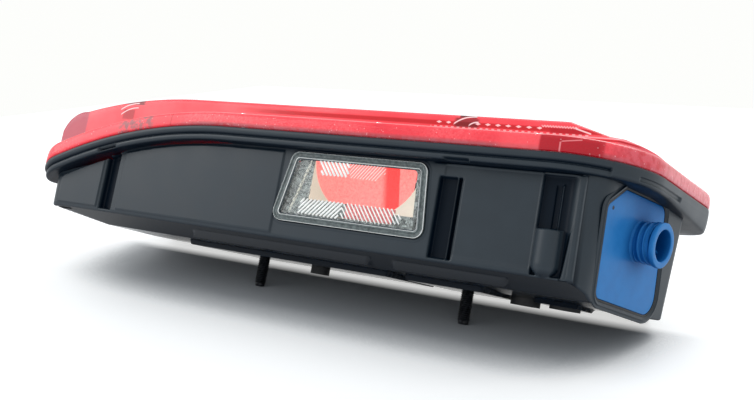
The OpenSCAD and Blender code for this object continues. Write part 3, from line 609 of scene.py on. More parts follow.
def make_lens_material():
    """Red lens: two tones, prism cells in its skirt, and the lines and rings seen in its near side, with
    painted glints, painted highlight lines and a painted glow.
    """
    material, tree, shader = new_material("lens_red")
    # Painted glow: the lens's own tones also glow faintly
    set_inputs(shader, {"Roughness": 0.2, "Transmission Weight": 0.15, "IOR": 1.49,
                        "Specular IOR Level": 0.3, "Coat Weight": 0.06, "Coat Roughness": 0.06,
                        "Emission Strength": 0.3})
    place = add_node(tree, "ShaderNodeTexCoord").outputs["Object"]
    in_mm = add_node(tree, "ShaderNodeVectorMath", {0: place, "Scale": 1 / MM}, operation="SCALE")
    at = parts_of(tree, in_mm.outputs["Vector"])
    x, y, z = at["X"], at["Y"], at["Z"]
    flat = add_node(tree, "ShaderNodeCombineXYZ", {"X": x, "Z": z}).outputs[0]
    side = calc(tree, "ABSOLUTE", y)
    run = calc(tree, "MINIMUM", calc(tree, "SUBTRACT", x, BEND_X), 0.0)
    rise = calc(tree, "SUBTRACT", z, PARTING - BEND_R)
    reach = calc(tree, "SQRT", calc(tree, "ADD", times(tree, run, run), times(tree, rise, rise)))
    level = calc(tree, "SUBTRACT", reach, BEND_R)
    skirt = ramp(tree, level, SKIRT_H - 0.2, SKIRT_H - 0.8)
    crown = times(tree, ramp(tree, level, SKIRT_H + 0.1, SKIRT_H + 0.4), ramp(tree, side, *SIDE_FROM))

    prisms = use_group(tree, PRISMS, Scale=900.0, Height=0.0001, Spots=0.95)
    slow = add_node(tree, "ShaderNodeTexNoise", {"Vector": place, "Scale": 22.0, "Detail": 3.0})
    rough_noise = add_node(tree, "ShaderNodeTexNoise", {"Vector": place, "Scale": 260.0, "Detail": 3.0})
    speckle = ramp(tree, rough_noise.outputs["Fac"], 0.42, 0.62)

    def both(first, second):
        return times(tree, first, second)

    def window_of(low_x, high_x, low_z, high_z, z_fade, x_fade):
        return both(field(tree, x, low_x, high_x, x_fade), field(tree, z, low_z, high_z, z_fade))

    def slanted(slope, height, half, fade):
        return close_to(tree, calc(tree, "ADD", z, both(x, slope)), height, half, fade)

    def ring(centre, radius, half, stretch):
        far = add_node(tree, "ShaderNodeVectorMath", {0: flat, 1: (centre[0], 0, centre[1])},
                       operation="DISTANCE").outputs["Value"]
        return both(close_to(tree, far, radius, half, RING_FADE), field(tree, x, *stretch, RING_END_FADE))

    def wave(pitch, start=0.0):
        """0 at every whole pitch from the start, half a pitch in between."""
        return calc(tree, "PINGPONG", calc(tree, "SUBTRACT", x, start), pitch / 2)

    low_edge = both(both(ramp(tree, level, *LOW_EDGE_LEVEL), ramp(tree, x, *LOW_EDGE_FROM)), skirt)
    nose = both(ramp(tree, x, *NOSE_FROM), ramp(tree, level, *NOSE_LEVEL))
    right_end = ramp(tree, x, *END_FROM)
    patch = both(both(field(tree, x, *PATCH_X), ramp(tree, speckle, 0.0, 0.7)), skirt)
    block = both(both(field(tree, x, *BLOCK_X), ramp(tree, x, *BLOCK_FROM)), skirt)
    ell_foot = both(slanted(*ELL_FOOT), field(tree, x, *ELL_FOOT_X))
    ell = both(calc(tree, "ADD", window_of(*ELL_UPRIGHT), ell_foot), skirt)
    crease = ramp(tree, x, *CREASE_FROM)
    off_row = calc(tree, "ABSOLUTE", calc(tree, "SUBTRACT", z, DIAMOND_Z))
    off_diamond = calc(tree, "ADD", calc(tree, "DIVIDE", wave(DIAMOND_PITCH, DIAMOND_AT), DIAMOND_HALF[0]),
                       calc(tree, "DIVIDE", off_row, DIAMOND_HALF[1]))
    diamond_fields = calc(tree, "ADD", *[field(tree, x, *stretch) for stretch in DIAMOND_FIELDS])
    diamonds = both(ramp(tree, off_diamond, *DIAMOND_EDGE), diamond_fields)
    teeth_height = calc(tree, "ADD", calc(tree, "SUBTRACT", z, TEETH_Z), wave(TEETH_PITCH))
    teeth = both(close_to(tree, teeth_height, *TEETH_LINE), field(tree, x, *TEETH_X))
    dashes = both(window_of(*DASH_ROW), ramp(tree, wave(DASH_PITCH, DASH_AT), *DASH_START))
    streak = both(slanted(*STREAK), field(tree, x, *STREAK_X))
    # Where, how much, colour, from the broad tones to the fine lines
    layers = [(both(prisms.outputs["Cell"], skirt), 0.7, RED_FULL),
              (both(crown, field(tree, z, *DARK_BAND_Z)), ramp(tree, x, *BAND_FROM), RED_DARK_LINE),
              (low_edge, 0.8, GREY_PINK),
              (low_edge, both(speckle, 0.5), RED_DARK_LINE),
              (nose, 0.9, RED_NOSE),
              (right_end, 0.8, RED_END),
              (both(right_end, skirt), both(speckle, 0.6), RED_DARK_LINE),
              (patch, 0.8, GREY_PATCH),
              (both(field(tree, x, *SEAM_LINE_X), skirt), 0.6, RED_DARK_LINE),
              (both(field(tree, x, *PALE_X), skirt), 0.5, RED_PALE),
              (block, 0.95, RED_DEEP),
              # Painted highlight lines: the ell, the skirt's top edge and the crease
              (ell, 0.5, PAINTED_HIGHLIGHT_PINK),
              (close_to(tree, level, *SKIRT_LINE), 0.35, PAINTED_HIGHLIGHT_PINK),
              (both(crown, close_to(tree, z, *CREASE_LIGHT)), crease, PAINTED_HIGHLIGHT_PINK),
              (both(crown, close_to(tree, z, *CREASE_DARK)), crease, RED_DARK_LINE)]
    layers += [(both(crown, window_of(*spot)), share, colour) for spot, share, colour in CROWN_SPOTS]
    edge = ramp(tree, side, *SPOT_SIDE_FROM)
    layers += [(window_of(*spot), both(edge, share), colour) for spot, share, colour in EDGE_SPOTS]
    # Painted glints: diamonds, zigzag teeth, dashes, streak, prism spots and rings
    layers += [(both(crown, diamonds), 0.8, PAINTED_GLINT),
               (both(crown, teeth), 0.5, PAINTED_GLINT),
               (both(crown, dashes), 0.45, PAINTED_GLINT),
               (both(crown, streak), 0.8, PAINTED_GLINT),
               (both(prisms.outputs["Spot"], skirt), 0.35, PAINTED_GLINT)]
    layers += [(both(crown, ring(*values)), 0.9, PAINTED_GLINT) for values in LENS_RINGS]
    top = ramp(tree, side, *TOP_FROM)
    for along, across, colour in TOP_FIELDS:
        inside = both(field(tree, x, *along, 0.5), field(tree, y, *across, 0.5))
        layers.append((both(top, inside), ramp(tree, level, *TOP_LEVEL), colour))
    tone = blend(tree, ramp(tree, slow.outputs["Fac"], 0.35, 0.7), RED_FULL, RED_PALE)
    for where, share, colour in layers:
        tone = blend(tree, both(where, share), tone, colour)
    tree.links.new(tone, shader.inputs["Base Color"])
    tree.links.new(tone, shader.inputs["Emission Color"])
    flat_normal = add_node(tree, "ShaderNodeNewGeometry").outputs["Normal"]
    normal = blend(tree, skirt, flat_normal, prisms.outputs["Normal"], "VECTOR")
    tree.links.new(normal, shader.inputs["Normal"])
    let_light_in(tree, shader, (0.9, 0.12, 0.12))
    return material


def make_pebble_material(name, dark, light, glow=0.0):
    """Moulded pebbles: each cell has its own tone and dome, and glows as painted light where glow is set.
    """
    material, tree, shader = new_material(name)
    set_inputs(shader, {"Roughness": 0.25, "Emission Strength": glow})
    cells = use_group(tree, PRISMS, Scale=820.0, Height=0.0004, Spots=0.8)
    tree.links.new(cells.outputs["Normal"], shader.inputs["Normal"])
    tone = blend(tree, ramp(tree, cells.outputs["Cell"], 0.25, 0.85), dark, light)
    tree.links.new(tone, shader.inputs["Base Color"])
    tree.links.new(tone, shader.inputs["Emission Color"])
    return material


SCREEN_PALE = (0.9, 0.17, 0.165, 1)
SCREEN_LIGHT = (1.0, 0.32, 0.3, 1)
SCREEN_RED = (0.9, 0.02, 0.02, 1)
# The screen's fuller strip: its slope, the height where its ends are measured, and its soft ends along X
SCREEN_SLOPE = 0.15
SCREEN_MIDDLE = 52.0
STRIP_FROM = (28.8, 32.8)
STRIP_TO = (41.0, 40.4)


def make_screen_material():
    """Red screen with fine speckles and its fuller strip, glowing as painted light."""
    material, tree, shader = new_material("screen_red")
    set_inputs(shader, {"Roughness": 0.45, "Specular IOR Level": 0.2, "Emission Strength": 0.55})
    grain = use_group(tree, GRAIN, Scale=700.0, Height=0.00004, Mottle_Scale=120.0)
    tree.links.new(grain.outputs["Normal"], shader.inputs["Normal"])
    at = parts_of(tree, add_node(tree, "ShaderNodeTexCoord").outputs["Object"])
    across = calc(tree, "ADD", at["X"], times(tree, at["Z"], SCREEN_SLOPE))
    shift = SCREEN_SLOPE * SCREEN_MIDDLE
    from_left, from_right = [[(x + shift) * MM for x in ends] for ends in (STRIP_FROM, STRIP_TO)]
    strip = times(tree, ramp(tree, across, *from_left), ramp(tree, across, *from_right))
    tone = blend(tree, grain.outputs["Fine"], SCREEN_PALE, SCREEN_LIGHT)
    tone = blend(tree, strip, tone, SCREEN_RED)
    tree.links.new(tone, shader.inputs["Base Color"])
    tree.links.new(tone, shader.inputs["Emission Color"])
    return material


# Recesses of the near wall that get painted shade, in metres: by axis, where the dark tone comes in
RECESS_RANGES = [("Y", -0.0667, -0.0648), ("Y", -0.058, -0.060), ("X", 0.1560, 0.1540),
                 ("Z", 0.0670, 0.0660)]
RECESS_PAINTED_SHADE = {"Base Color": (0.001, 0.006, 0.014, 1), "Specular IOR Level": (0.12, 0.12, 0.12, 1)}


def paint_shade_in_recesses(material):
    """Painted shade: darker floors, with less gloss, in the recesses of the near wall."""
    tree = material.node_tree
    shader = tree.nodes["Principled BSDF"]
    at = parts_of(tree, add_node(tree, "ShaderNodeTexCoord").outputs["Object"])
    inside = 1.0
    for axis, low, high in RECESS_RANGES:
        inside = times(tree, ramp(tree, at[axis], low, high), inside)
    for label, dark in RECESS_PAINTED_SHADE.items():
        before = shader.inputs[label].links[0].from_socket
        tree.links.new(blend(tree, inside, before, dark), shader.inputs[label])


# The housing, its belly and the connector carry painted shade in recesses and on faces turned down
housing_black = grained("housing_black", (0.015, 0.026, 0.037), (0.018, 0.030, 0.042), (0.38, 0.44),
                        painted_shade=(0.001, 0.006, 0.016), reach=0.009, open_low=0.05, open_high=0.7,
                        Specular_IOR_Level=0.4)
paint_shade_in_recesses(housing_black)
housing_belly = grained("housing_belly", (0.003, 0.009, 0.018), (0.004, 0.011, 0.021), (0.1, 0.14),
                        painted_shade=(0.001, 0.004, 0.010), Specular_IOR_Level=0.5)
lens_red = make_lens_material()
connector_blue = grained("connector_blue", (0.03, 0.235, 0.62), (0.038, 0.26, 0.66), (0.3, 0.38),
                         mottle=120.0, painted_shade=(0.0, 0.07, 0.28), reach=0.018, Specular_IOR_Level=0.14)
# Dark tone of the plate's mark, also used for a painted shadow inside the window rim
mark_and_shade_dark = grained("mark_and_shade_dark", (0.004, 0.012, 0.03), (0.006, 0.016, 0.04), (0.5, 0.6))
window_clear = clear_plastic("window_clear", (0.94, 0.97, 0.97), (0.9, 0.93, 0.93))
weld_grey = clear_plastic("weld_grey", (0.10, 0.12, 0.12), (0.7, 0.73, 0.73), 0.12, 0.25, 0.00012,
                          scale=520.0, spread=2.6)
# Painted glow: the window's flutes and the lines on its rim glow white
flute_painted_glow = clear_plastic("flute_painted_glow", (0.90, 0.91, 0.89), (0.8, 0.82, 0.82), 0.12, 0.1, glow=0.35)
pebble_grey = make_pebble_material("pebble_grey", (0.07, 0.09, 0.09, 1), (0.42, 0.47, 0.47, 1))
# Painted glow on the pink flute back and the cream light box
pink_pale = make_pebble_material("pink_pale", (0.62, 0.09, 0.1, 1), (0.9, 0.25, 0.25, 1), glow=0.15)
box_cream = grained("box_cream", (0.69, 0.67, 0.58), (0.74, 0.72, 0.64), (0.3, 0.4), glow=0.34)
screen_red = make_screen_material()
rubber_black = grained("rubber_black", (0.010, 0.011, 0.013), (0.016, 0.018, 0.021), (0.5, 0.65))
stud_black = grained("stud_black", (0.008, 0.01, 0.014), (0.02, 0.022, 0.026), (0.3, 0.5),
                     scale=900.0, mottle=300.0, Metallic=0.5)
chrome_bright = grained("chrome_bright", (0.8, 0.8, 0.83), (0.88, 0.88, 0.9), (0.1, 0.18), Metallic=1.0)
inner_grey = grained("inner_grey", (0.13, 0.13, 0.14), (0.17, 0.17, 0.18), (0.45, 0.55))
brass = grained("brass", (0.68, 0.47, 0.18), (0.75, 0.55, 0.25), (0.25, 0.4), Metallic=1.0)
bulb_glass = clear_plastic("bulb_glass", (0.92, 0.94, 0.95), (0.9, 0.92, 0.93), 0.03, 0.9, ior=1.45)
amber_clear = clear_plastic("amber_clear", (0.95, 0.36, 0.02), (0.95, 0.5, 0.1), 0.08, 0.5)
panel_clear = clear_plastic("panel_clear", (0.92, 0.95, 0.97), (0.92, 0.94, 0.95), 0.07, 0.7)
NODE_LOOKS = {
    "housing": housing_black, "red_lens": lens_red, "amber_lens": amber_clear,
    "clear_lens": panel_clear, "window": window_clear, "light_box": box_cream,
    "red_screen": screen_red, "connector": connector_blue, "seal": rubber_black,
    "screw_steel": chrome_bright, "stud_steel": stud_black, "contact_brass": brass,
    "reflector": chrome_bright, "inner_plastic": inner_grey, "amber_bulb": amber_clear,
    "clear_bulb": bulb_glass}
for part in frame["record"]["subparts"]:
    node = nodes[part["node"]]
    node.data.materials.clear()
    node.data.materials.append(NODE_LOOKS[part["material_slot"]])


# Camera and stage

CAMERA_AT = (0.2467, -0.4653, -0.0104)
CAMERA_TURN = Matrix(((0.8813, -0.1039, 0.4610), (0.4391, -0.1807, -0.8800), (0.1747, 0.9779, -0.1136)))
SENSOR = 36.0
FRAME_W = 754.0
FOCAL_PX = 800.0
CLIP_NEAR = 0.01


def make_camera():
    data = bpy.data.cameras.new("photo_camera")
    data.sensor_width = SENSOR
    data.lens = FOCAL_PX * SENSOR / FRAME_W
    data.clip_start = CLIP_NEAR
    camera = bpy.data.objects.new("photo_camera", data)
    camera.matrix_world = Matrix.Translation(CAMERA_AT) @ CAMERA_TURN.to_4x4()
    bpy.context.scene.collection.objects.link(camera)
    bpy.context.scene.camera = camera


# Table top, in metres
FLOOR_SLOPE = 0.398
FLOOR_X = 1.1
FLOOR_Y = (-0.9, 1.3)
FLOOR_COLOUR = (0.5, 0.52, 0.54, 1)
FLOOR_LIGHT = (1.0, 1.0, 0.985, 1)
FLOOR_GLOW = 0.62
# The table's glow, painted light that leaves a painted shadow under the lamp: how far the lamp's shade
# reaches, how open a lit place is, and where behind the lamp it is painted lit anyway
SHADE_REACH = 0.18
LIT_OPEN = (0.4, 0.66)
PAINTED_LIT_BEHIND = (0.034, 0.046)


def plain_rays(tree):
    """1 for the camera's rays, and for those that gloss and clear pieces send on."""
    path = add_node(tree, "ShaderNodeLightPath").outputs
    seen = calc(tree, "MAXIMUM", path["Is Camera Ray"], path["Is Glossy Ray"])
    return calc(tree, "MAXIMUM", seen, path["Is Transmission Ray"])


def make_floor():
    """Table top through the stud tips, tilted against the lamp as in the photo; its glow paints the lamp's
    shadow and a lit strip behind the lamp.
    """
    corners = [(x, y, -STUD_LEN * MM + FLOOR_SLOPE * y)
               for x, y in ((-FLOOR_X, FLOOR_Y[0]), (FLOOR_X, FLOOR_Y[0]),
                            (FLOOR_X, FLOOR_Y[1]), (-FLOOR_X, FLOOR_Y[1]))]
    mesh = bpy.data.meshes.new("table_top")
    mesh.from_pydata(corners, [], [(0, 1, 2, 3)])
    material, tree, shader = new_material("table_white")
    set_inputs(shader, {"Base Color": FLOOR_COLOUR, "Roughness": 0.55,
                        "Specular IOR Level": 0.3, "Emission Color": FLOOR_LIGHT})
    shade = add_node(tree, "ShaderNodeAmbientOcclusion", {"Distance": SHADE_REACH}, samples=8)
    open_sky = add_node(tree, "ShaderNodeMapRange",
                        {"Value": shade.outputs["AO"], "From Min": LIT_OPEN[0], "From Max": LIT_OPEN[1],
                         "To Min": 0.0, "To Max": FLOOR_GLOW})
    at = parts_of(tree, add_node(tree, "ShaderNodeTexCoord").outputs["Object"])
    # Painted light: the table behind the lamp glows as if lit
    behind = times(tree, ramp(tree, at["Y"], *PAINTED_LIT_BEHIND), FLOOR_GLOW)
    glow = calc(tree, "MAXIMUM", open_sky.outputs["Result"], behind)
    tree.links.new(times(tree, glow, plain_rays(tree)), shader.inputs["Emission Strength"])
    clear = add_node(tree, "ShaderNodeBsdfTransparent")
    from_below = add_node(tree, "ShaderNodeNewGeometry").outputs["Backfacing"]
    mix_shaders(tree, from_below, shader, clear, "Material Output")
    mesh.materials.append(material)
    floor = bpy.data.objects.new("table_top", mesh)
    bpy.context.scene.collection.objects.link(floor)


SKY_COLOUR = (0.9, 0.95, 1.0, 1)
SKY_STRENGTH = 0.76
BACKDROP_COLOUR = (0.985, 0.99, 0.97, 1)


def make_world():
    """Soft light from all around, behind a plain pale backdrop."""
    world = bpy.data.worlds.new("studio")
    bpy.context.scene.world = world
    world.use_nodes = True
    tree = world.node_tree
    sky = tree.nodes["Background"]
    set_inputs(sky, {"Color": SKY_COLOUR, "Strength": SKY_STRENGTH})
    backdrop = add_node(tree, "ShaderNodeBackground", {"Color": BACKDROP_COLOUR, "Strength": 1.0})
    mix_shaders(tree, plain_rays(tree), sky, backdrop, "World Output")


# Lamps: name, place, width and depth in metres, and power in watts
LAMPS = [("key_softbox", (-1.3, -1.0, 0.6), (1.0, 1.0), 9), ("top_softbox", (0.3, 0.5, 1.4), (1.2, 1.0), 9)]


def make_lamp(name, at, size, power):
    """Soft lamp that faces the origin."""
    data = bpy.data.lights.new(name, "AREA")
    data.shape = "RECTANGLE"
    data.size, data.size_y = size
    data.energy = power
    lamp = bpy.data.objects.new(name, data)
    lamp.location = at
    lamp.rotation_euler = (-Vector(at)).to_track_quat("-Z", "Y").to_euler()
    bpy.context.scene.collection.objects.link(lamp)


bpy.context.scene.view_settings.view_transform = "Standard"
make_camera()
make_floor()
make_world()
for lamp_values in LAMPS:
    make_lamp(*lamp_values)

# Housing

# Rows of the flange's side: inset left of the seam, inset right of it, height
RIM_PROFILE = [(7.0, 7.0, -0.35), (0.9, 0.9, -0.35), (0.5, 0.5, -0.55), (0.2, 0.2, -0.95),
               (0.03, 0.03, -1.5), (0.0, 0.0, -2.1), (0.05, 0.0, -2.8), (0.22, 0.0, -3.4),
               (0.6, 0.0, -4.0), (1.2, 0.0, -4.4), (2.0, 0.0, -4.75), (2.5, 0.0, -4.95),
               (2.6, 0.0, -5.15), (2.2, 0.02, -5.4), (1.85, 0.06, -5.8), (1.7, 0.12, -6.3),
               (1.66, 0.22, -6.8), (1.7, 0.36, -7.2), (1.78, 0.55, -7.6), (1.95, 0.85, -8.0),
               (2.25, 1.25, -8.4), (2.7, 1.8, -8.7), (3.3, 2.5, -8.9), (4.2, 3.4, -9.0),
               (6.0, 6.0, -9.0), (8.8, 8.8, -9.0), (12.0, 12.0, -9.3), (17.0, 17.0, -9.8)]
# Hook slots: their stretch in X and their lower and upper level
HOOK_SLOTS = [(-175.0, -160.0, -8.4, -5.9), (77.5, 92.0, -9.6, -7.4)]
HOOK_DEEP = 4.5
# Seam in the flange's near side, with its notch: depth and half width
SEAM_X = 165.0
SEAM_NOTCH = (0.3, 0.35)
# Long slot in the flange's right end: its stretch in Y, its levels and its depth
END_SLOT_Y = (-55.0, -4.0)
END_SLOT_LEVEL = (-7.3, -4.9)
END_SLOT_DEEP = 1.2
SLOT_SOFT = 0.3
DEEP_RIM = 6.5
DEEP_RIM_X = (104.0, 150.0)
DEEP_RIM_Y = (-20.0, 60.0)
# Distance below the parting line where the flange starts to deepen, and the run to its full depth
DEEPER_FROM = 6.5
DEEPER_RUN = 2.0
# Least Y share of a normal on the straight near side
NEAR_SIDE = 0.9


def rim_drop(x, y):
    """Further depth of the flange at its far right corner."""
    along = (x - DEEP_RIM_X[0]) / (DEEP_RIM_X[1] - DEEP_RIM_X[0])
    across = (y - DEEP_RIM_Y[0]) / (DEEP_RIM_Y[1] - DEEP_RIM_Y[0])
    return DEEP_RIM * np.clip(np.minimum(along, across), 0, 1)


def make_rim():
    """Flange with its two steps, plain right end, hook slots and end slot."""
    path, normals = outline(FLANGE, FLANGE_RADII, corner=120, spacing=0.9)
    near = normals[:, 1] > NEAR_SIDE
    plain = smooth((path[:, 0] - SEAM_X) / 0.8)[:, None]
    seam = SEAM_NOTCH[0] * np.exp(-((path[:, :1] - SEAM_X) / SEAM_NOTCH[1]) ** 2)
    along_end = bump_between(path[:, 1], *END_SLOT_Y, 1.0) * (path[:, 0] > SEAM_X)
    rows = []
    for stepped, smooth_side, d in RIM_PROFILE:
        inset = stepped * (1 - plain) + smooth_side * plain + seam
        slot = bump_between(d, *END_SLOT_LEVEL, SLOT_SOFT)
        xy = path + normals * (inset + END_SLOT_DEEP * slot * along_end[:, None])
        share = np.clip((-d - DEEPER_FROM) / DEEPER_RUN, 0, 1)
        deeper = rim_drop(xy[:, 0], xy[:, 1]) * share
        rows.append(np.column_stack([xy, level_z(xy[:, 0], d) - deeper]))
    rows = np.array(rows)
    level = np.array([row[-1] for row in RIM_PROFILE])[:, None]
    for left, right, low, high in HOOK_SLOTS:
        depth = bump_between(rows[:, :, 0], left, right, 0.8) * near[None, :]
        rows[:, :, 1] += HOOK_DEEP * depth * bump_between(level, low, high, SLOT_SOFT)
    faces = grid_faces(len(rows), len(path), ring=True, turned=True)
    add_mesh("housing_rim", rows.reshape(-1, 3), faces, housing_black, ["rear_housing"])


def under_z(x, y):
    """Height of the underside before its pads."""
    cross = np.interp(np.abs(y), UNDER_ACROSS, UNDER_Z)
    return np.maximum(cross, RISE_START + (RISE_X - x) * RISE_SLOPE)


def body_corners(z):
    """Corners of the body in plan at one height."""
    lean = LEAN * (PARTING - z) / (PARTING - FOOT_Z)
    up = (z - FACE_POINT[2]) / FACE_UP[2]
    start = FACE_POINT + up * FACE_UP
    near = start + (-BODY_HALF - start[1]) / FACE_ALONG[1] * FACE_ALONG
    far = start + FAR_EDGE * FACE_ALONG
    bevel = BEVEL_END + up * FACE_UP[0]
    return [(BODY_LEFT + lean, -BODY_HALF), near[:2], far[:2], (bevel, BODY_HALF),
            (BODY_LEFT + lean, BODY_HALF)]


# Upright columns of the near wall: close together at its edges, wider apart between them
EDGE_X = [-212.0, -174.0, -172.0, -161.5, -156.5, -29.5, 74.0, 76.7, 84.6, 87.9, 131.5, 134.0, 138.5, 142.2,
          148.0, 153.0]
EDGE_REACH = 2.2
CLOSE_PITCH = 0.35
WIDE_PITCH = 1.1
COLUMNS_FROM = -210.0
COLUMNS_TO = 153.8
# Columns from there to the rounded corner
TAIL = 40


def near_columns():
    columns = [COLUMNS_FROM]
    while columns[-1] < COLUMNS_TO:
        close = min(abs(columns[-1] - x) for x in EDGE_X) < EDGE_REACH
        columns.append(columns[-1] + (CLOSE_PITCH if close else WIDE_PITCH))
    return np.array(columns)


NEAR_X = near_columns()
NEAR_COLUMNS = len(NEAR_X) + TAIL + 1
RING_LENGTHS = [NEAR_COLUMNS, 60, 24, 110, 50]
RING_CORNER = 12
LOFT_TOP = 80.0
LOW_RING, LOW_NORMALS = outline(body_corners(0), BODY_RADII, RING_CORNER, lengths=RING_LENGTHS)
HIGH_RING = outline(body_corners(LOFT_TOP), BODY_RADII, RING_CORNER, lengths=RING_LENGTHS)[0]


def body_at(z, inset):
    """The body's outline, with a height of its own for each point, moved inwards."""
    t = (z / LOFT_TOP)[:, None]
    return LOW_RING + (HIGH_RING - LOW_RING) * t + LOW_NORMALS * inset


# Relief of the near wall: its raised panels, and the groove between them
PANEL_X = [(-214.0, -174.0), (-157.0, -29.0)]
PANEL_FOOT = 13.5
PANEL_SOFT = 0.8
LEFT_PANEL_DROP = 1.2
LEFT_GROOVE_X = (-173.0, -161.0)
LEFT_GROOVE_FOOT = 13.0
GROOVE_DEEP = 5.0
# The wide groove right of the window, with two thin ridges in it, and the sunk flat panel behind them
GROOVE_X = (73.5, 88.3)
GROOVE_Z = (13.0, 58.5)
GROOVE_SOFT = 0.9
GROOVE_RIDGES = [(83.9, 85.3), (86.9, 88.3)]
RIDGE_SOFT = 0.6
RIDGE_SHARE = 0.85
FLAT_X = (76.3, 131.0)
FLAT_Z = (15.0, 65.4)
FLAT_SOFT = 0.7
FLAT_DEEP = 0.7
# Line under the flange at the right: where it starts, its height, and the step above it
RIGHT_LINE_X = 70.0
RIGHT_LINE_Z = 65.4
RIGHT_STEP = 1.3
# Recess with a slot, a ridge beside the slot and a half round cup
RECESS_LEFT = 131.0
RECESS_RIGHT = 151.0
RECESS_FOOT = 12.0
RECESS_RISE = 6.0
RECESS_DEEP = 3.2
SLOT_X = (137.9, 141.4)
SLOT_RIDGE_X = (141.4, 142.8)
SLOT_Z = (36.6, 60.4)
SLOT_DEEP = 1.3
CUP_AT = (138.0, 18.5)
CUP_R = 7.0
CUP_TOP = 36.6
CUP_SUNK = 2.6
# Fine seam right of the recess: place, depth and half width
WALL_SEAM = (153.0, 0.35, 0.5)


def near_relief(x, z):
    """How far the near wall stands out at a place on it."""
    top = level_z(x, -RIM_H - PANEL_GAP)
    below_top = smooth((top - z) / PANEL_SOFT)
    left_top = smooth((top - LEFT_PANEL_DROP - z) / PANEL_SOFT)
    left_panel, long_panel = [bump_between(x, *ends, PANEL_SOFT) for ends in PANEL_X]
    out = (left_panel * left_top + long_panel * below_top) * smooth((z - PANEL_FOOT) / PANEL_SOFT)
    left_groove = bump_between(x, *LEFT_GROOVE_X, 1.0) * below_top
    out -= GROOVE_DEEP * left_groove * smooth((z - LEFT_GROOVE_FOOT) / PANEL_SOFT)
    groove = bump_between(x, *GROOVE_X, GROOVE_SOFT) * bump_between(z, *GROOVE_Z, GROOVE_SOFT)
    ridges = sum(bump_between(x, *ends, RIDGE_SOFT) for ends in GROOVE_RIDGES)
    out -= GROOVE_DEEP * groove * (1 - RIDGE_SHARE * ridges)
    flat = bump_between(x, *FLAT_X, FLAT_SOFT) * bump_between(z, *FLAT_Z, FLAT_SOFT)
    out -= FLAT_DEEP * flat * (1 - groove)
    recess = smooth((x - RECESS_LEFT) / GROOVE_SOFT) * smooth((RECESS_RIGHT - x) / RECESS_RISE)
    recess = recess * bump_between(z, RECESS_FOOT, RIGHT_LINE_Z, GROOVE_SOFT)
    in_slot = bump_between(z, *SLOT_Z, FLAT_SOFT)
    ridge = bump_between(x, *SLOT_RIDGE_X, RIDGE_SOFT) * in_slot
    slot = bump_between(x, *SLOT_X, RIDGE_SOFT) * in_slot
    out -= RECESS_DEEP * recess * (1 - 0.5 * ridge) + SLOT_DEEP * slot
    away = (x - CUP_AT[0]) ** 2 + np.clip(CUP_AT[1] - z, 0, None) ** 2
    cup = np.sqrt(np.clip(CUP_R ** 2 - away, 0, None)) - CUP_SUNK
    inside = smooth((CUP_R ** 2 - away) / 2) * smooth((CUP_TOP - z) / RIDGE_SOFT)
    out = out + inside * np.clip(cup - out, 0, None)
    out -= RIGHT_STEP * smooth((x - RIGHT_LINE_X) / 1.0) * smooth((z - RIGHT_LINE_Z) / FLAT_SOFT)
    seam_x, seam_deep, seam_half = WALL_SEAM
    return out - seam_deep * np.exp(-((x - seam_x) / seam_half) ** 2)


# Rows of the wall's rounded foot: inset and height over the underside
FOOT_ROUND = [(0.0, 1.3), (0.1, 0.8), (0.35, 0.4), (0.8, 0.12), (1.4, 0.0), (2.6, 0.12)]
WALL_ROWS = 76
# Heights at which the wall's foot and top are found, and the level where it goes into the flange
FOOT_AT = 6.0
TOP_AT = 62.0
WALL_TOP = -8.2
# Margins of the holes that are left for the window and the connector plate
WINDOW_MARGIN = 0.9
PLATE_MARGIN = 2.2
PLATE_DEPTH = 2.0


def make_walls():
    """Side walls with the near wall's relief, open at the window and the connector plate."""
    columns = len(LOW_RING)
    near = np.zeros(columns, bool)
    near[RING_CORNER:RING_CORNER + NEAR_COLUMNS + 1] = True
    foot = body_at(np.full(columns, FOOT_AT), 0)
    low = under_z(foot[:, 0], foot[:, 1])
    high_place = body_at(np.full(columns, TOP_AT), 0)
    top = level_z(high_place[:, 0], WALL_TOP) - rim_drop(high_place[:, 0], high_place[:, 1])
    rows = []
    for t in np.linspace(0, 1, WALL_ROWS):
        z = top + (low + FOOT_ROUND[0][1] - top) * t
        rows.append(np.column_stack([body_at(z, 0), z]))
    for inset, up in FOOT_ROUND[1:]:
        xy = body_at(low, inset)
        rows.append(np.column_stack([xy, under_z(xy[:, 0], xy[:, 1]) + up]))
    rows = np.array(rows)
    first = RING_CORNER + 1
    last = RING_CORNER + NEAR_COLUMNS
    rows[:, first:first + len(NEAR_X), 0] = NEAR_X
    step = np.arange(1, TAIL + 1) / (TAIL + 1)
    rows[:, last - TAIL:last, 0] = NEAR_X[-1] + (rows[:, last, 0:1] - NEAR_X[-1]) * step
    relief = near_relief(rows[:, :, 0], rows[:, :, 2])
    rows[:, :, 1] -= np.where(near[None, :], relief, 0)
    middle = (rows[:-1] + rows[1:]) / 2
    flat = middle.reshape(-1, 3)
    window = signed_distance(flat[:, [0, 2]], WINDOW, WINDOW_RADII) < WINDOW_MARGIN
    window &= np.tile(near, len(middle))
    local = flat - FACE_POINT
    yz = np.column_stack([local @ FACE_ALONG, local @ FACE_UP])
    plate = signed_distance(yz, PLATE, PLATE_RADII) < PLATE_MARGIN
    plate &= np.abs(local @ FACE_OUT) < PLATE_DEPTH
    keep = ~(window | plate).reshape(len(middle), columns)
    faces = grid_faces(len(rows), columns, ring=True, turned=True, keep=keep)
    add_mesh("housing_walls", rows.reshape(-1, 3), faces, housing_black, ["rear_housing"])


# Belly: its grid, its margin inside the walls, and the height at which its ends are found
BELLY_ROWS = 118
BELLY_COLUMNS = 330
BELLY_IN = 1.3
BELLY_END_IN = 1.2
BELLY_END_AT = 4.0
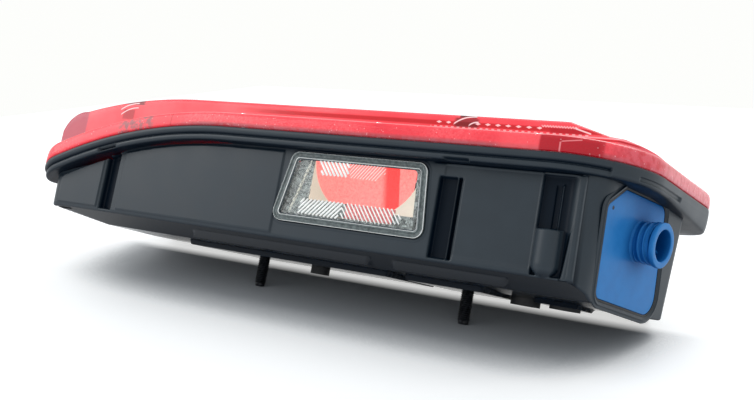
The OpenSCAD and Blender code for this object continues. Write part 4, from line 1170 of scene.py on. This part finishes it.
# Half width of the left end's straight part, the most that end's X may be, and the least of the right end's
LEFT_STRAIGHT = 55.0
LEFT_LIMIT = -200.0
RIGHT_LIMIT = 100.0
PAD_SOFT = 0.9
PAD_OUT = 0.6


def end_of(side, y, reach, low):
    """Furthest X of an end's points close to y and past a limit, or None."""
    x = side[np.abs(side[:, 1] - y) < reach][:, 0]
    x = x[x > low]
    return x.max() if x.size else None


def belly_ends(sides, y):
    """Left and right end of the belly at one place across it."""
    left, right = [np.interp(y, side[:, 1], side[:, 0]) for side in sides]
    if abs(y) > LEFT_STRAIGHT:
        left = end_of(sides[0], y, 3.0, -np.inf)
    furthest = end_of(sides[1], y, 1.2, RIGHT_LIMIT)
    return min(left, LEFT_LIMIT), right if furthest is None else furthest


def make_underside():
    """Belly with its rise, its raised steps and pads."""
    ring = body_at(np.full(len(LOW_RING), BELLY_END_AT), BELLY_END_IN)
    sides = [ring[half][np.argsort(ring[half][:, 1])] for half in (ring[:, 0] < 0, ring[:, 0] > 0)]
    share = np.linspace(0, 1, BELLY_COLUMNS)
    rows = []
    for y in np.linspace(-BODY_HALF + BELLY_IN, BODY_HALF - BELLY_IN, BELLY_ROWS):
        left, right = belly_ends(sides, y)
        x = left + (right - left) * share
        z = under_z(x, np.full_like(x, y))
        for x0, x1, y0, y1, level in PADS:
            along = bump_between(x, x0 - PAD_OUT, x1 + PAD_OUT, PAD_SOFT)
            inside = along * bump_between(y, y0 - PAD_OUT, y1 + PAD_OUT, PAD_SOFT)
            z = np.minimum(z, z + (level - z) * inside)
        rows.append(np.column_stack([x, np.full_like(x, y), z]))
    faces = grid_faces(BELLY_ROWS, BELLY_COLUMNS, turned=True)
    add_mesh("housing_underside", np.concatenate(rows), faces, housing_belly, ["rear_housing"])


# Rows of the seat around the window and of the rim around the connector plate: inset and height
WINDOW_SEAT = [(-2.3, -0.6), (-2.2, -0.1), (-2.0, 0.08), (-1.2, 0.12), (-0.6, 0.1), (-0.3, 0.0),
               (-0.15, -0.25), (-0.15, -1.5), (3.2, -1.5)]
PLATE_RIM = [(-4.9, -0.6), (-4.7, -0.05), (-4.4, 0.06), (-3.4, 0.07), (-3.2, 0.3), (-3.1, 0.6),
             (-2.95, 0.75), (-2.7, 0.8), (-2.45, 0.7), (-2.3, 0.5), (-2.2, 0.1), (-1.5, 0.04),
             (-1.25, -0.1), (-1.2, -0.4), (-1.2, -3.6), (1.5, -3.6)]


def make_frames():
    window = outline(WINDOW, WINDOW_RADII, corner=14, spacing=1.5)
    sweep("window_frame", window, WINDOW_SEAT, on_near_wall, housing_black, ["rear_housing"])
    plate = outline(PLATE, PLATE_RADII, corner=14, spacing=1.5)
    sweep("plate_frame", plate, PLATE_RIM, on_face, housing_black, ["rear_housing"])


make_rim()
make_walls()
make_underside()
make_frames()

# Lens

# Rows of the skirt: inset and level
SKIRT = [(2.6, 0.05), (1.2, 0.05), (0.35, 0.12), (0.06, 0.5), (0.0, 1.2), (0.02, 3.0), (0.15, 5.0),
         (0.45, 6.7), (0.9, 7.8), (1.5, 8.5), (2.4, 8.9), (3.4, 9.0)]
# Rows of the raised lens: way in from its foot, share of its full height, and extra height
CROWN_FOOT = [(-1.4, 0.0, 0.0), (-0.6, 0.0, 0.15), (-0.15, 0.0, 0.5), (0.02, 0.2, 0.8), (0.06, 0.5, 0.4),
              (0.1, 0.8, 0.2)]
CROWN_IN = [0.16, 0.4, 0.8, 1.3, 2.0, 3.0, 4.2, 5.6, 7.2, 9.2, 12.0, 16.0, 21.0, 28.0, 36.0, 45.0, 53.0]
CROWN_STEPS = CROWN_FOOT + [(way, 1.0, 0.0) for way in CROWN_IN]
# Ends of the line in the lens's middle that its rows run to, measured from the flange's ends
SPINE_IN = (62.0, 66.0)
SPINE_GAP = 0.5
LEAST_RISE = 0.02


def crown_side(x):
    """Side view of the raised lens."""
    run = np.clip(CROWN_BEND_X - x, 0, None)
    z = CROWN_Z - CROWN_BEND_R + np.sqrt(CROWN_BEND_R ** 2 - run ** 2)
    z = np.where(x > SLOPE_X[0], np.interp(x, SLOPE_X, SLOPE_Z), z)
    nose_top = CROWN_Z - CROWN_BEND_R + math.sqrt(CROWN_BEND_R ** 2 - (CROWN_BEND_X - NOSE_X) ** 2)
    reach = np.clip(NOSE_X - x, 0, NOSE_R)
    nose = nose_top - NOSE_R + np.sqrt(NOSE_R ** 2 - reach ** 2)
    return np.where(x < NOSE_X, nose, z)


def crown_top(x, y):
    over = np.clip(np.abs(y) - (CROWN_SIDE - CROWN_ROUND), 0, CROWN_ROUND)
    return crown_side(x) - CROWN_ROUND + np.sqrt(CROWN_ROUND ** 2 - over ** 2)


def make_lens():
    """Skirt and raised lens in one shell, closed along the lens's middle."""
    path, normals = outline(FLANGE, FLANGE_RADII, corner=56, spacing=1.5)
    rows = []
    for inset, d in SKIRT:
        xy = path + normals * inset
        rows.append(np.column_stack([xy, level_z(xy[:, 0], d)]))
    base = path + normals * CROWN_EDGE
    base[:, 1] = np.clip(base[:, 1], -CROWN_SIDE, CROWN_SIDE)
    spine_x = np.clip(base[:, 0], LEFT + SPINE_IN[0], RIGHT_FAR - SPINE_IN[1])
    way = np.column_stack([spine_x, np.zeros(len(base))]) - base
    length = np.linalg.norm(way, axis=1, keepdims=True)
    way = way / length
    foot = level_z(base[:, 0], SKIRT_H)
    for away, share, lift in CROWN_STEPS + [(None, 1.0, 0.0)]:
        far = length if away is None else np.minimum(away, length - SPINE_GAP)
        xy = base + way * far
        shape = np.maximum(crown_top(xy[:, 0], xy[:, 1]), foot + LEAST_RISE)
        ground = level_z(xy[:, 0], SKIRT_H) if share == 0 else foot
        rows.append(np.column_stack([xy, ground + (shape - ground) * share + lift * (1 - share)]))
    rows = np.array(rows)
    faces = grid_faces(len(rows), len(path), ring=True)
    lens = add_mesh("lens_shell", rows.reshape(-1, 3), faces, lens_red,
                    ["red_lens", "amber_panel", "clear_panel"], merge=True, sharp=50)
    solid = lens.modifiers.new("thickness", "SOLIDIFY")
    solid.thickness = LENS_T * MM
    solid.offset = -1


make_lens()

# Connector

FACE_AXES = [FACE_ALONG, FACE_UP, FACE_OUT]
SHELL_CENTRE = FACE_POINT + SHELL_AT[0] * FACE_ALONG + SHELL_AT[1] * FACE_UP
# Rows of the plate's rounded edge: inset and height
PLATE_EDGE = [(0.15, -3.3), (0.15, -0.75), (0.25, -0.52), (0.45, -0.42), (0.8, -0.4)]
PLATE_STEPS = 9
SHELL_GAP = 0.2


def make_plate():
    """Sunk blue plate around the shell's foot."""
    path, normals = outline(PLATE, PLATE_RADII, corner=14, spacing=1.2)
    rows = [on_face(path + normals * inset, out) for inset, out in PLATE_EDGE]
    inner = path + normals * PLATE_EDGE[-1][0]
    away = inner - np.array(SHELL_AT)
    away = away / np.linalg.norm(away, axis=1, keepdims=True)
    ring = np.array(SHELL_AT) + away * (SHELL_R + SHELL_GAP)
    for t in np.linspace(0, 1, PLATE_STEPS)[1:]:
        rows.append(on_face(inner + (ring - inner) * t, -PLATE_SUNK))
    rows = np.array(rows)
    faces = grid_faces(len(rows), len(path), ring=True, turned=True)
    add_mesh("connector_base", rows.reshape(-1, 3), faces, connector_blue, ["connector_plate"],
             sharp=40)


# Rows of the shell: radius and height, from its foot over the threaded stretch and its mouth into its bore
SHELL_FOOT = [(12.0, -0.42), (11.6, -0.36), (11.2, -0.1), (10.95, 0.3)]
SHELL_THREAD = [(SHELL_R, h) for h in np.linspace(0.6, 10.2, 60)]
SHELL_MOUTH = [(10.8, 10.35), (11.2, 10.45), (11.9, 10.5), (12.15, 10.6), (MOUTH_R, 10.85),
               (MOUTH_R, 12.3), (12.15, 12.7), (11.85, 12.95)]
SHELL_BORE = [(11.4, SHELL_LEN), (9.5, SHELL_LEN), (9.0, 12.95), (8.75, 12.75), (BORE_R, 12.4),
              (BORE_R, 9.0), (BORE_R, 5.0), (BORE_R, 1.0), (BORE_R, -1.3), (8.5, -1.4), (5.0, -1.4),
              (2.0, -1.4), (0.3, -1.4)]
SHELL_ROWS = SHELL_FOOT + SHELL_THREAD + SHELL_MOUTH + SHELL_BORE
SHELL_COLUMNS = 160
# Thread ridge: height, where it starts within its half pitch, and the stretch of the shell that carries it
RIDGE_HIGH = 0.85
RIDGE_START = 0.52
RIDGE_FLANK = 0.28
RIDGE_FROM = 1.0
RIDGE_TO = 10.0
# Lug on top of the shell: half width, and the heights where it starts and where it steps out to the mouth
LUG_HALF = 3.0
LUG_FROM = 4.6
LUG_STEP = 7.6
LUG_R = 11.75
LUG_SOFT = 0.4
# Keys in the bore: number, distance from its axis, height of their middle, and half sizes
KEYS = 3
KEY_AT = 6.9
KEY_UP = 3.0
KEY_HALF = (1.5, 0.7, 4.2)
DIVIDER_UP = 1.6
DIVIDER_HALF = (0.55, 4.4, 3.0)
# Small dark mark on the plate: its place on the connector face, and its rows of radius and height
MARK_AT = (-2.6, 47.2)
MARK_ROWS = [(1.1, -0.4), (0.95, -0.32), (0.75, -0.3), (0.6, -0.36), (0.02, -0.37)]


def shell_radius(k, h, angle):
    """Radius of one row of the shell, with its thread ridge and its lug."""
    r = np.full_like(angle, SHELL_ROWS[k][0])
    thread_to = len(SHELL_FOOT) + len(SHELL_THREAD)
    if len(SHELL_FOOT) <= k < thread_to:
        turn = (h - 2.0) / RIDGE_PITCH - angle / (2 * np.pi)
        wave = np.abs((turn % 1.0) - 0.5) * 2
        ridge = smooth((wave - RIDGE_START) / RIDGE_FLANK) * bump_between(h, RIDGE_FROM, RIDGE_TO, 0.6)
        r = r + RIDGE_HIGH * ridge
    if len(SHELL_FOOT) <= k < thread_to + len(SHELL_MOUTH):
        offset = np.abs(np.cos(angle)) * MOUTH_R
        share = smooth((LUG_HALF - offset) / 0.5) * (np.sin(angle) > 0) * smooth((h - LUG_FROM) / LUG_SOFT)
        stepped = smooth((h - LUG_STEP) / LUG_SOFT)
        tall = (MOUTH_R - 0.05) * stepped + LUG_R * (1 - stepped)
        r = np.maximum(r, r + (tall - r) * share)
    return r


def make_shell():
    """Threaded shell with the keys and the divider in its bore."""
    turned_piece("connector_shell", shell_radius, [row[1] for row in SHELL_ROWS], SHELL_CENTRE, FACE_AXES,
                 SHELL_COLUMNS, connector_blue, ["connector_plate"], sharp=60)
    for k in range(KEYS):
        angle = math.pi / 2 + 2 * math.pi * k / KEYS
        out = math.cos(angle) * FACE_ALONG + math.sin(angle) * FACE_UP
        side = -math.sin(angle) * FACE_ALONG + math.cos(angle) * FACE_UP
        spot = SHELL_CENTRE + KEY_AT * out + KEY_UP * FACE_OUT
        soft_box(f"bore_key_{k + 1}", spot, [out, side, FACE_OUT], KEY_HALF, 0.3, connector_blue,
                 ["connector_plate"], steps=4)
    soft_box("bore_divider", SHELL_CENTRE + DIVIDER_UP * FACE_OUT, FACE_AXES, DIVIDER_HALF, 0.25,
             connector_blue, ["connector_plate"], steps=4)


def make_mark():
    def radius(k, h, angle):
        return np.full_like(angle, MARK_ROWS[k][0])

    place = FACE_POINT + MARK_AT[0] * FACE_ALONG + MARK_AT[1] * FACE_UP
    turned_piece("plate_mark", radius, [row[1] for row in MARK_ROWS], place, FACE_AXES, 20, mark_and_shade_dark,
                 ["connector_plate"])


# Studs

STUD_STEP = 0.16
STUD_COLUMNS = 48
THREAD_DEEP = 0.62
THREAD_RUN_IN = (0.6, 0.25)
TIP_LEN = 2.0
TIP_R = STUD_R - 0.8
TIP_CHAMFER = 0.3
# Slot in the tip: half width and depth
TIP_SLOT = (0.9, 1.1)
COLLAR_R = 4.5
HEAD_HALF = 6.35
HEAD_LOW = 5.0
HEAD_HIGH = 9.0


def make_stud(name, node, side):
    """Stud with its threaded length, tip, collar and square head."""
    thread = np.arange(-STUD_LEN + TIP_LEN, -0.01, STUD_STEP)
    tip = [(0.02, 0.0), (1.4, 0.0), (2.4, 0.0), (TIP_R - TIP_CHAMFER, 0.0), (TIP_R, TIP_CHAMFER),
           (TIP_R, TIP_LEN - 0.1)]
    head = [(STUD_R - 0.4, 0.0), (COLLAR_R, 0.0), (COLLAR_R, HEAD_LOW), (HEAD_HALF, HEAD_LOW),
            (HEAD_HALF, HEAD_HIGH), (0.02, HEAD_HIGH)]
    rows = [(r, up - STUD_LEN) for r, up in tip] + [(STUD_R, h) for h in thread] + head

    def radius(k, h, angle):
        r = np.full_like(angle, rows[k][0])
        if len(tip) <= k < len(tip) + len(thread):
            turn = (h / THREAD_PITCH - angle / (2 * np.pi)) % 1.0
            run_in, shallow = THREAD_RUN_IN
            r = r - THREAD_DEEP * smooth(np.abs(turn - 0.5) * 2)
            r = r - shallow * smooth((run_in - (h + STUD_LEN - TIP_LEN)) / run_in)
        if rows[k][0] == HEAD_HALF:
            r = HEAD_HALF / np.maximum(np.abs(np.cos(angle)), np.abs(np.sin(angle)))
        return r

    piece = turned_piece(name, radius, [row[1] for row in rows], (side * STUD_X, 0, 0), np.eye(3),
                         STUD_COLUMNS, stud_black, [node], sharp=50)
    for vertex in piece.data.vertices:
        at_tip = vertex.co.z / MM < -STUD_LEN + 0.1
        if at_tip and abs(vertex.co.y / MM) < TIP_SLOT[0]:
            vertex.co.z += TIP_SLOT[1] * MM


make_plate()
make_shell()
make_mark()
make_stud("stud_left_threaded", "stud_left", -1)
make_stud("stud_right_threaded", "stud_right", 1)

# Number plate window

# Rim: its two welded beads, each from and to, their height, and the rim's inner edge
BEADS = [(0.0, 1.3), (2.6, 3.9)]
BEAD_H = 0.7
RIM_IN = 4.3
RIM_OUTER = [(0.12, WINDOW_BACK), (0.12, 0.6), (0.18, 0.95)]
RIM_ROWS = 30
# Raised lines on the rim, painted pale as highlights: their place, and their rows of width and height
WELD_HIGHLIGHT_LINES = [0.3, 3.75]
WELD_ROWS = [(-0.16, 0.0), (-0.06, 0.62), (0.06, 0.62), (0.16, 0.0)]
# Clear pane: its front, its back, its grid, and how far each corner stands in from the window's corner
PANE_FRONT = 0.75
PANE_BACK = -0.9
PANE_COLUMNS = 330
PANE_ROWS = 130
PANE_IN = [(4.455, 4.05), (-4.131, 4.05), (-4.455, -4.05), (3.8475, -4.05)]
# Pebbles at the pane's left end: the strip's edge, the height where it is measured and its lean, then
# the pebbles' own height
PEBBLE_EDGE = (-8.6, 60.0, 0.14)
PEBBLE_H = 0.2
# Flutes of the window: corners in X and Z, slant (X per Z), pitch, half width and height
FLUTES = [([(-0.2, 51.7), (17.6, 52.0), (17.2, 60.9), (-2.9, 60.6)], -0.75, 2.6, 0.72, 0.42),
          ([(18.7, 51.8), (36.3, 51.5), (41.1, 56.4), (40.6, 60.6), (17.2, 60.9)], 0.75, 2.0, 0.2, 0.3),
          ([(-12.2, 27.9), (14.8, 27.3), (18.1, 36.9), (-11.0, 36.8)], 0.9, 2.6, 0.6, 0.42),
          ([(16.2, 27.8), (42.5, 27.4), (55.5, 28.9), (55.1, 33.0), (49.8, 36.8), (18.1, 36.9)],
           -0.75, 2.6, 0.42, 0.4)]
FLUTE_FOOT = 0.7
FLUTE_COUNT = 30
FLUTE_TOP = 0.35
LEAST_FLUTE = 0.8
FAR_OFF = 200.0

# Light box behind the window: its opening, front and back
BOX_OPENING = [(-8.3, 28.4), (61.3, 28.4), (59.2, 60.6), (-8.3, 60.6)]
BOX_RADII = [1.0, 3.0, 3.0, 1.0]
BOX_LENGTHS = [60, 30, 60, 30]
BOX_CORNER = 10
BOX_OUTER_IN = 2.9
BOX_LIP = 1.0
BOX_FRONT = -3.2
BOX_BACK = -21.2
BOX_X = (-26.6, 67.3)
BOX_Z = (24.7, 64.0)
# Round cut in its back: middle and radius
CUT_AT = (17.6, 68.8)
CUT_R = 37.2
CUT_COLUMNS = 200
CUT_ROWS = 30
# Red screen behind the cut, and its slight waves: height, and radians for each millimetre in X and in Z
SCREEN_X = (-26.4, 50.4)
SCREEN_OUT = -21.6
SCREEN_WAVE = (0.12, 1.7, 1.9)
SCREEN_COLUMNS = 60
SCREEN_ROWS = 40
# Pieces on the box's front: middle and half size in X, Y and Z, with the middle's Y outwards from the front
CORNER_BLOCK = ((56.0, 0.55, 30.0), (7.0, 0.5, 3.9))
FLUTE_BACK_X = [("flute_back_left", -12.5, 18.0), ("flute_back_right", 18.1, 50.0)]
FLUTE_BACK_Y = (0.3, 0.3)
FLUTE_BACK_Z = (32.7, 4.2)
# Pale edge at the box's left end: its ends in X and Z, its distance out from the front, and half sizes
STRIP_EDGE = [(-20.3, 29.0), (-10.6, 60.4)]
STRIP_OUT = 0.45
STRIP_HALF = (0.35, 0.4)


def bead(inset):
    """Height of the two welded beads at a distance from the window's edge."""
    highest = 0.0
    for low, high in BEADS:
        t = np.clip((inset - low) / (high - low), 0, 1)
        highest = max(highest, BEAD_H * math.sqrt(np.clip(1 - (2 * t - 1) ** 2, 0, 1)) ** 0.8)
    return highest


def make_rim_of_window():
    """Closed rim with its beads, the raised lines on it painted pale as highlights, and a dark line inside
    it as painted shadow.
    """
    path = outline(WINDOW, WINDOW_RADII, corner=16, spacing=0.7)
    profile = list(RIM_OUTER)
    profile += [(inset, WINDOW_FRONT + bead(inset)) for inset in np.linspace(0.3, RIM_IN, RIM_ROWS)]
    profile += [(RIM_IN, WINDOW_BACK), (RIM_OUTER[0][0], WINDOW_BACK)]
    node = ["number_plate_window"]
    sweep("window_rim", path, profile, on_near_wall, weld_grey, node, closed=True, sharp=50)
    for k, inset in enumerate(WELD_HIGHLIGHT_LINES):
        line = [(inset + across, WINDOW_FRONT + up) for across, up in WELD_ROWS]
        sweep(f"weld_highlight_line_{k + 1}", path, line, on_near_wall, flute_painted_glow, node)
    # Painted shadow: a dark strip just inside the rim
    gap = [(RIM_IN, PANE_FRONT + 0.2), (RIM_IN + 0.35, PANE_FRONT + 0.06)]
    sweep("weld_shadow", path, gap, on_near_wall, mark_and_shade_dark, node)


def make_pane():
    """Clear pane, pebbled at its left end."""
    u, v = np.meshgrid(np.linspace(0, 1, PANE_COLUMNS), np.linspace(0, 1, PANE_ROWS))
    u, v = u[..., None], v[..., None]
    a, b, c, d = np.array(WINDOW) + np.array(PANE_IN)
    xz = ((a * (1 - u) + b * u) * (1 - v) + (d * (1 - u) + c * u) * v).reshape(-1, 2)
    x, z = xz[:, 0], xz[:, 1]
    edge_x, edge_z, lean = PEBBLE_EDGE
    strip = smooth((edge_x - x - lean * (z - edge_z)) / 0.8)
    pebble = np.sin(x * 3.3 + 1.3 * np.sin(z * 2.1)) * np.sin(z * 3.1 + 1.1 * np.sin(x * 2.3))
    front = on_near_wall(xz, PANE_FRONT + PEBBLE_H * strip * pebble)
    back = on_near_wall(xz, PANE_BACK)
    n = len(front)
    faces = grid_faces(PANE_ROWS, PANE_COLUMNS)
    faces += [[i + n for i in f] for f in grid_faces(PANE_ROWS, PANE_COLUMNS, turned=True)]
    places = np.arange(n).reshape(PANE_ROWS, PANE_COLUMNS)
    loop = np.concatenate([places[0], places[1:, -1], places[-1, -2::-1], places[-2:0:-1, 0]]).tolist()
    faces += [[a, a + n, b + n, b] for a, b in zip(loop, loop[1:] + loop[:1])]
    add_mesh("window_pane", np.concatenate([front, back]), faces, window_clear, ["number_plate_window"],
             sharp=60)


def clipped_line(corners, start, way):
    """Stretch of a straight line that lies inside a convex outline, or None."""
    low, high = -FAR_OFF, FAR_OFF
    for a, b in zip(corners, corners[1:] + corners[:1]):
        edge = np.array(b) - np.array(a)
        inward = np.array([-edge[1], edge[0]])
        gain = way @ inward
        at = (np.array(a) - start) @ inward
        if abs(gain) < TINY:
            if at > 0:
                return None
        elif gain > 0:
            low = max(low, at / gain)
        else:
            high = min(high, at / gain)
    return (low, high) if high - low > LEAST_FLUTE else None


def make_flutes():
    """Slanted prism bars moulded on the window, in four fields."""
    points, faces = [], []
    for corners, slant, pitch, half, height in FLUTES:
        slope = math.hypot(slant, 1.0)
        way = np.array([slant, 1.0]) / slope
        across = np.array([way[1], -way[0]])
        middle = np.mean(corners, axis=0)
        section = ((-half, 0.0), (-FLUTE_TOP * half, height), (FLUTE_TOP * half, height), (half, 0.0))
        for k in range(-FLUTE_COUNT, FLUTE_COUNT + 1):
            start = middle + across * pitch / slope * k
            stretch = clipped_line(corners, start, way)
            if stretch is None:
                continue
            first = len(points)
            for t in stretch:
                for offset, out in section:
                    spot = start + way * t + across * offset
                    points.append((spot[0], -BODY_HALF - FLUTE_FOOT - out, spot[1]))
            sides = [[i, (i + 1) % 4, (i + 1) % 4 + 4, i + 4] for i in range(4)]
            faces += [[first + i for i in f] for f in sides + [[3, 2, 1, 0], [4, 5, 6, 7]]]
    add_mesh("window_flutes", points, faces, flute_painted_glow, ["number_plate_window"])


def box_piece(name, middle, half, round_r, material, axes=np.eye(3)):
    """Small soft box on the front of the light box."""
    x, out, z = middle
    centre = (x, -BODY_HALF - BOX_FRONT - out, z)
    soft_box(name, centre, axes, half, round_r, material, ["plate_light_box"])


def make_light_box():
    """Front frame, slanted sides, and back with its round cut."""
    node = ["plate_light_box"]
    outer, normals = outline(WINDOW, WINDOW_RADII, BOX_CORNER, lengths=BOX_LENGTHS)
    outer = outer + normals * BOX_OUTER_IN
    inner = outline(BOX_OPENING, BOX_RADII, BOX_CORNER, lengths=BOX_LENGTHS)[0]
    rows = [on_near_wall(outer, BOX_FRONT - BOX_LIP)]
    rows += [on_near_wall(outer + (inner - outer) * t, BOX_FRONT) for t in np.linspace(0, 1, 7)]
    faces = grid_faces(len(rows), len(outer), ring=True, turned=True)
    add_mesh("light_box_front", np.concatenate(rows), faces, pebble_grey, node, sharp=50)
    corners = [(BOX_X[0], BOX_Z[0]), (BOX_X[1], BOX_Z[0]), (BOX_X[1], BOX_Z[1]), (BOX_X[0], BOX_Z[1])]
    back = outline(corners, BOX_RADII, BOX_CORNER, lengths=BOX_LENGTHS)[0]
    rows = [on_near_wall(inner + (back - inner) * t ** 0.5, BOX_FRONT + (BOX_BACK - BOX_FRONT) * t)
            for t in np.linspace(0, 1, 12)]
    faces = grid_faces(len(rows), len(inner), ring=True, turned=True)
    add_mesh("light_box_sides", np.concatenate(rows), faces, box_cream, node, sharp=50)
    x = np.linspace(*BOX_X, CUT_COLUMNS)
    cut = CUT_AT[1] - np.sqrt(np.clip(CUT_R ** 2 - (x - CUT_AT[0]) ** 2, 0, None))
    top = np.minimum(cut, BOX_Z[1])
    rows = [on_near_wall(np.column_stack([x, BOX_Z[0] + (top - BOX_Z[0]) * t]), BOX_BACK)
            for t in np.linspace(0, 1, CUT_ROWS)]
    faces = grid_faces(CUT_ROWS, CUT_COLUMNS)
    add_mesh("light_box_back", np.concatenate(rows), faces, box_cream, node)


def make_screen():
    x = np.linspace(*SCREEN_X, SCREEN_COLUMNS)
    wave, along, up = SCREEN_WAVE
    rows = [on_near_wall(np.column_stack([x, np.full_like(x, z)]),
                         SCREEN_OUT + wave * np.sin(x * along) * math.sin(z * up))
            for z in np.linspace(*BOX_Z, SCREEN_ROWS)]
    faces = grid_faces(SCREEN_ROWS, SCREEN_COLUMNS)
    add_mesh("light_screen_face", np.concatenate(rows), faces, screen_red, ["light_screen"])


def make_box_pieces():
    """Pebbled block, the backs of the lower flutes, and the pale edge at the left end."""
    box_piece("light_box_corner", *CORNER_BLOCK, 0.3, pebble_grey)
    for (name, low_x, high_x), material in zip(FLUTE_BACK_X, (pebble_grey, pink_pale)):
        middle = ((low_x + high_x) / 2, FLUTE_BACK_Y[0], FLUTE_BACK_Z[0])
        box_piece(name, middle, ((high_x - low_x) / 2, FLUTE_BACK_Y[1], FLUTE_BACK_Z[1]), 0.2, material)
    low, high = (np.array(p) for p in STRIP_EDGE)
    length = np.linalg.norm(high - low)
    way = (high - low) / length
    middle = (low + high) / 2
    axes = [(way[0], 0, way[1]), (way[1], 0, -way[0]), (0, -1, 0)]
    box_piece("light_box_edge", (middle[0], STRIP_OUT, middle[1]), (length / 2, *STRIP_HALF), 0.15,
              box_cream, axes)


make_rim_of_window()
make_pane()
make_flutes()
make_light_box()
make_screen()
make_box_pieces()
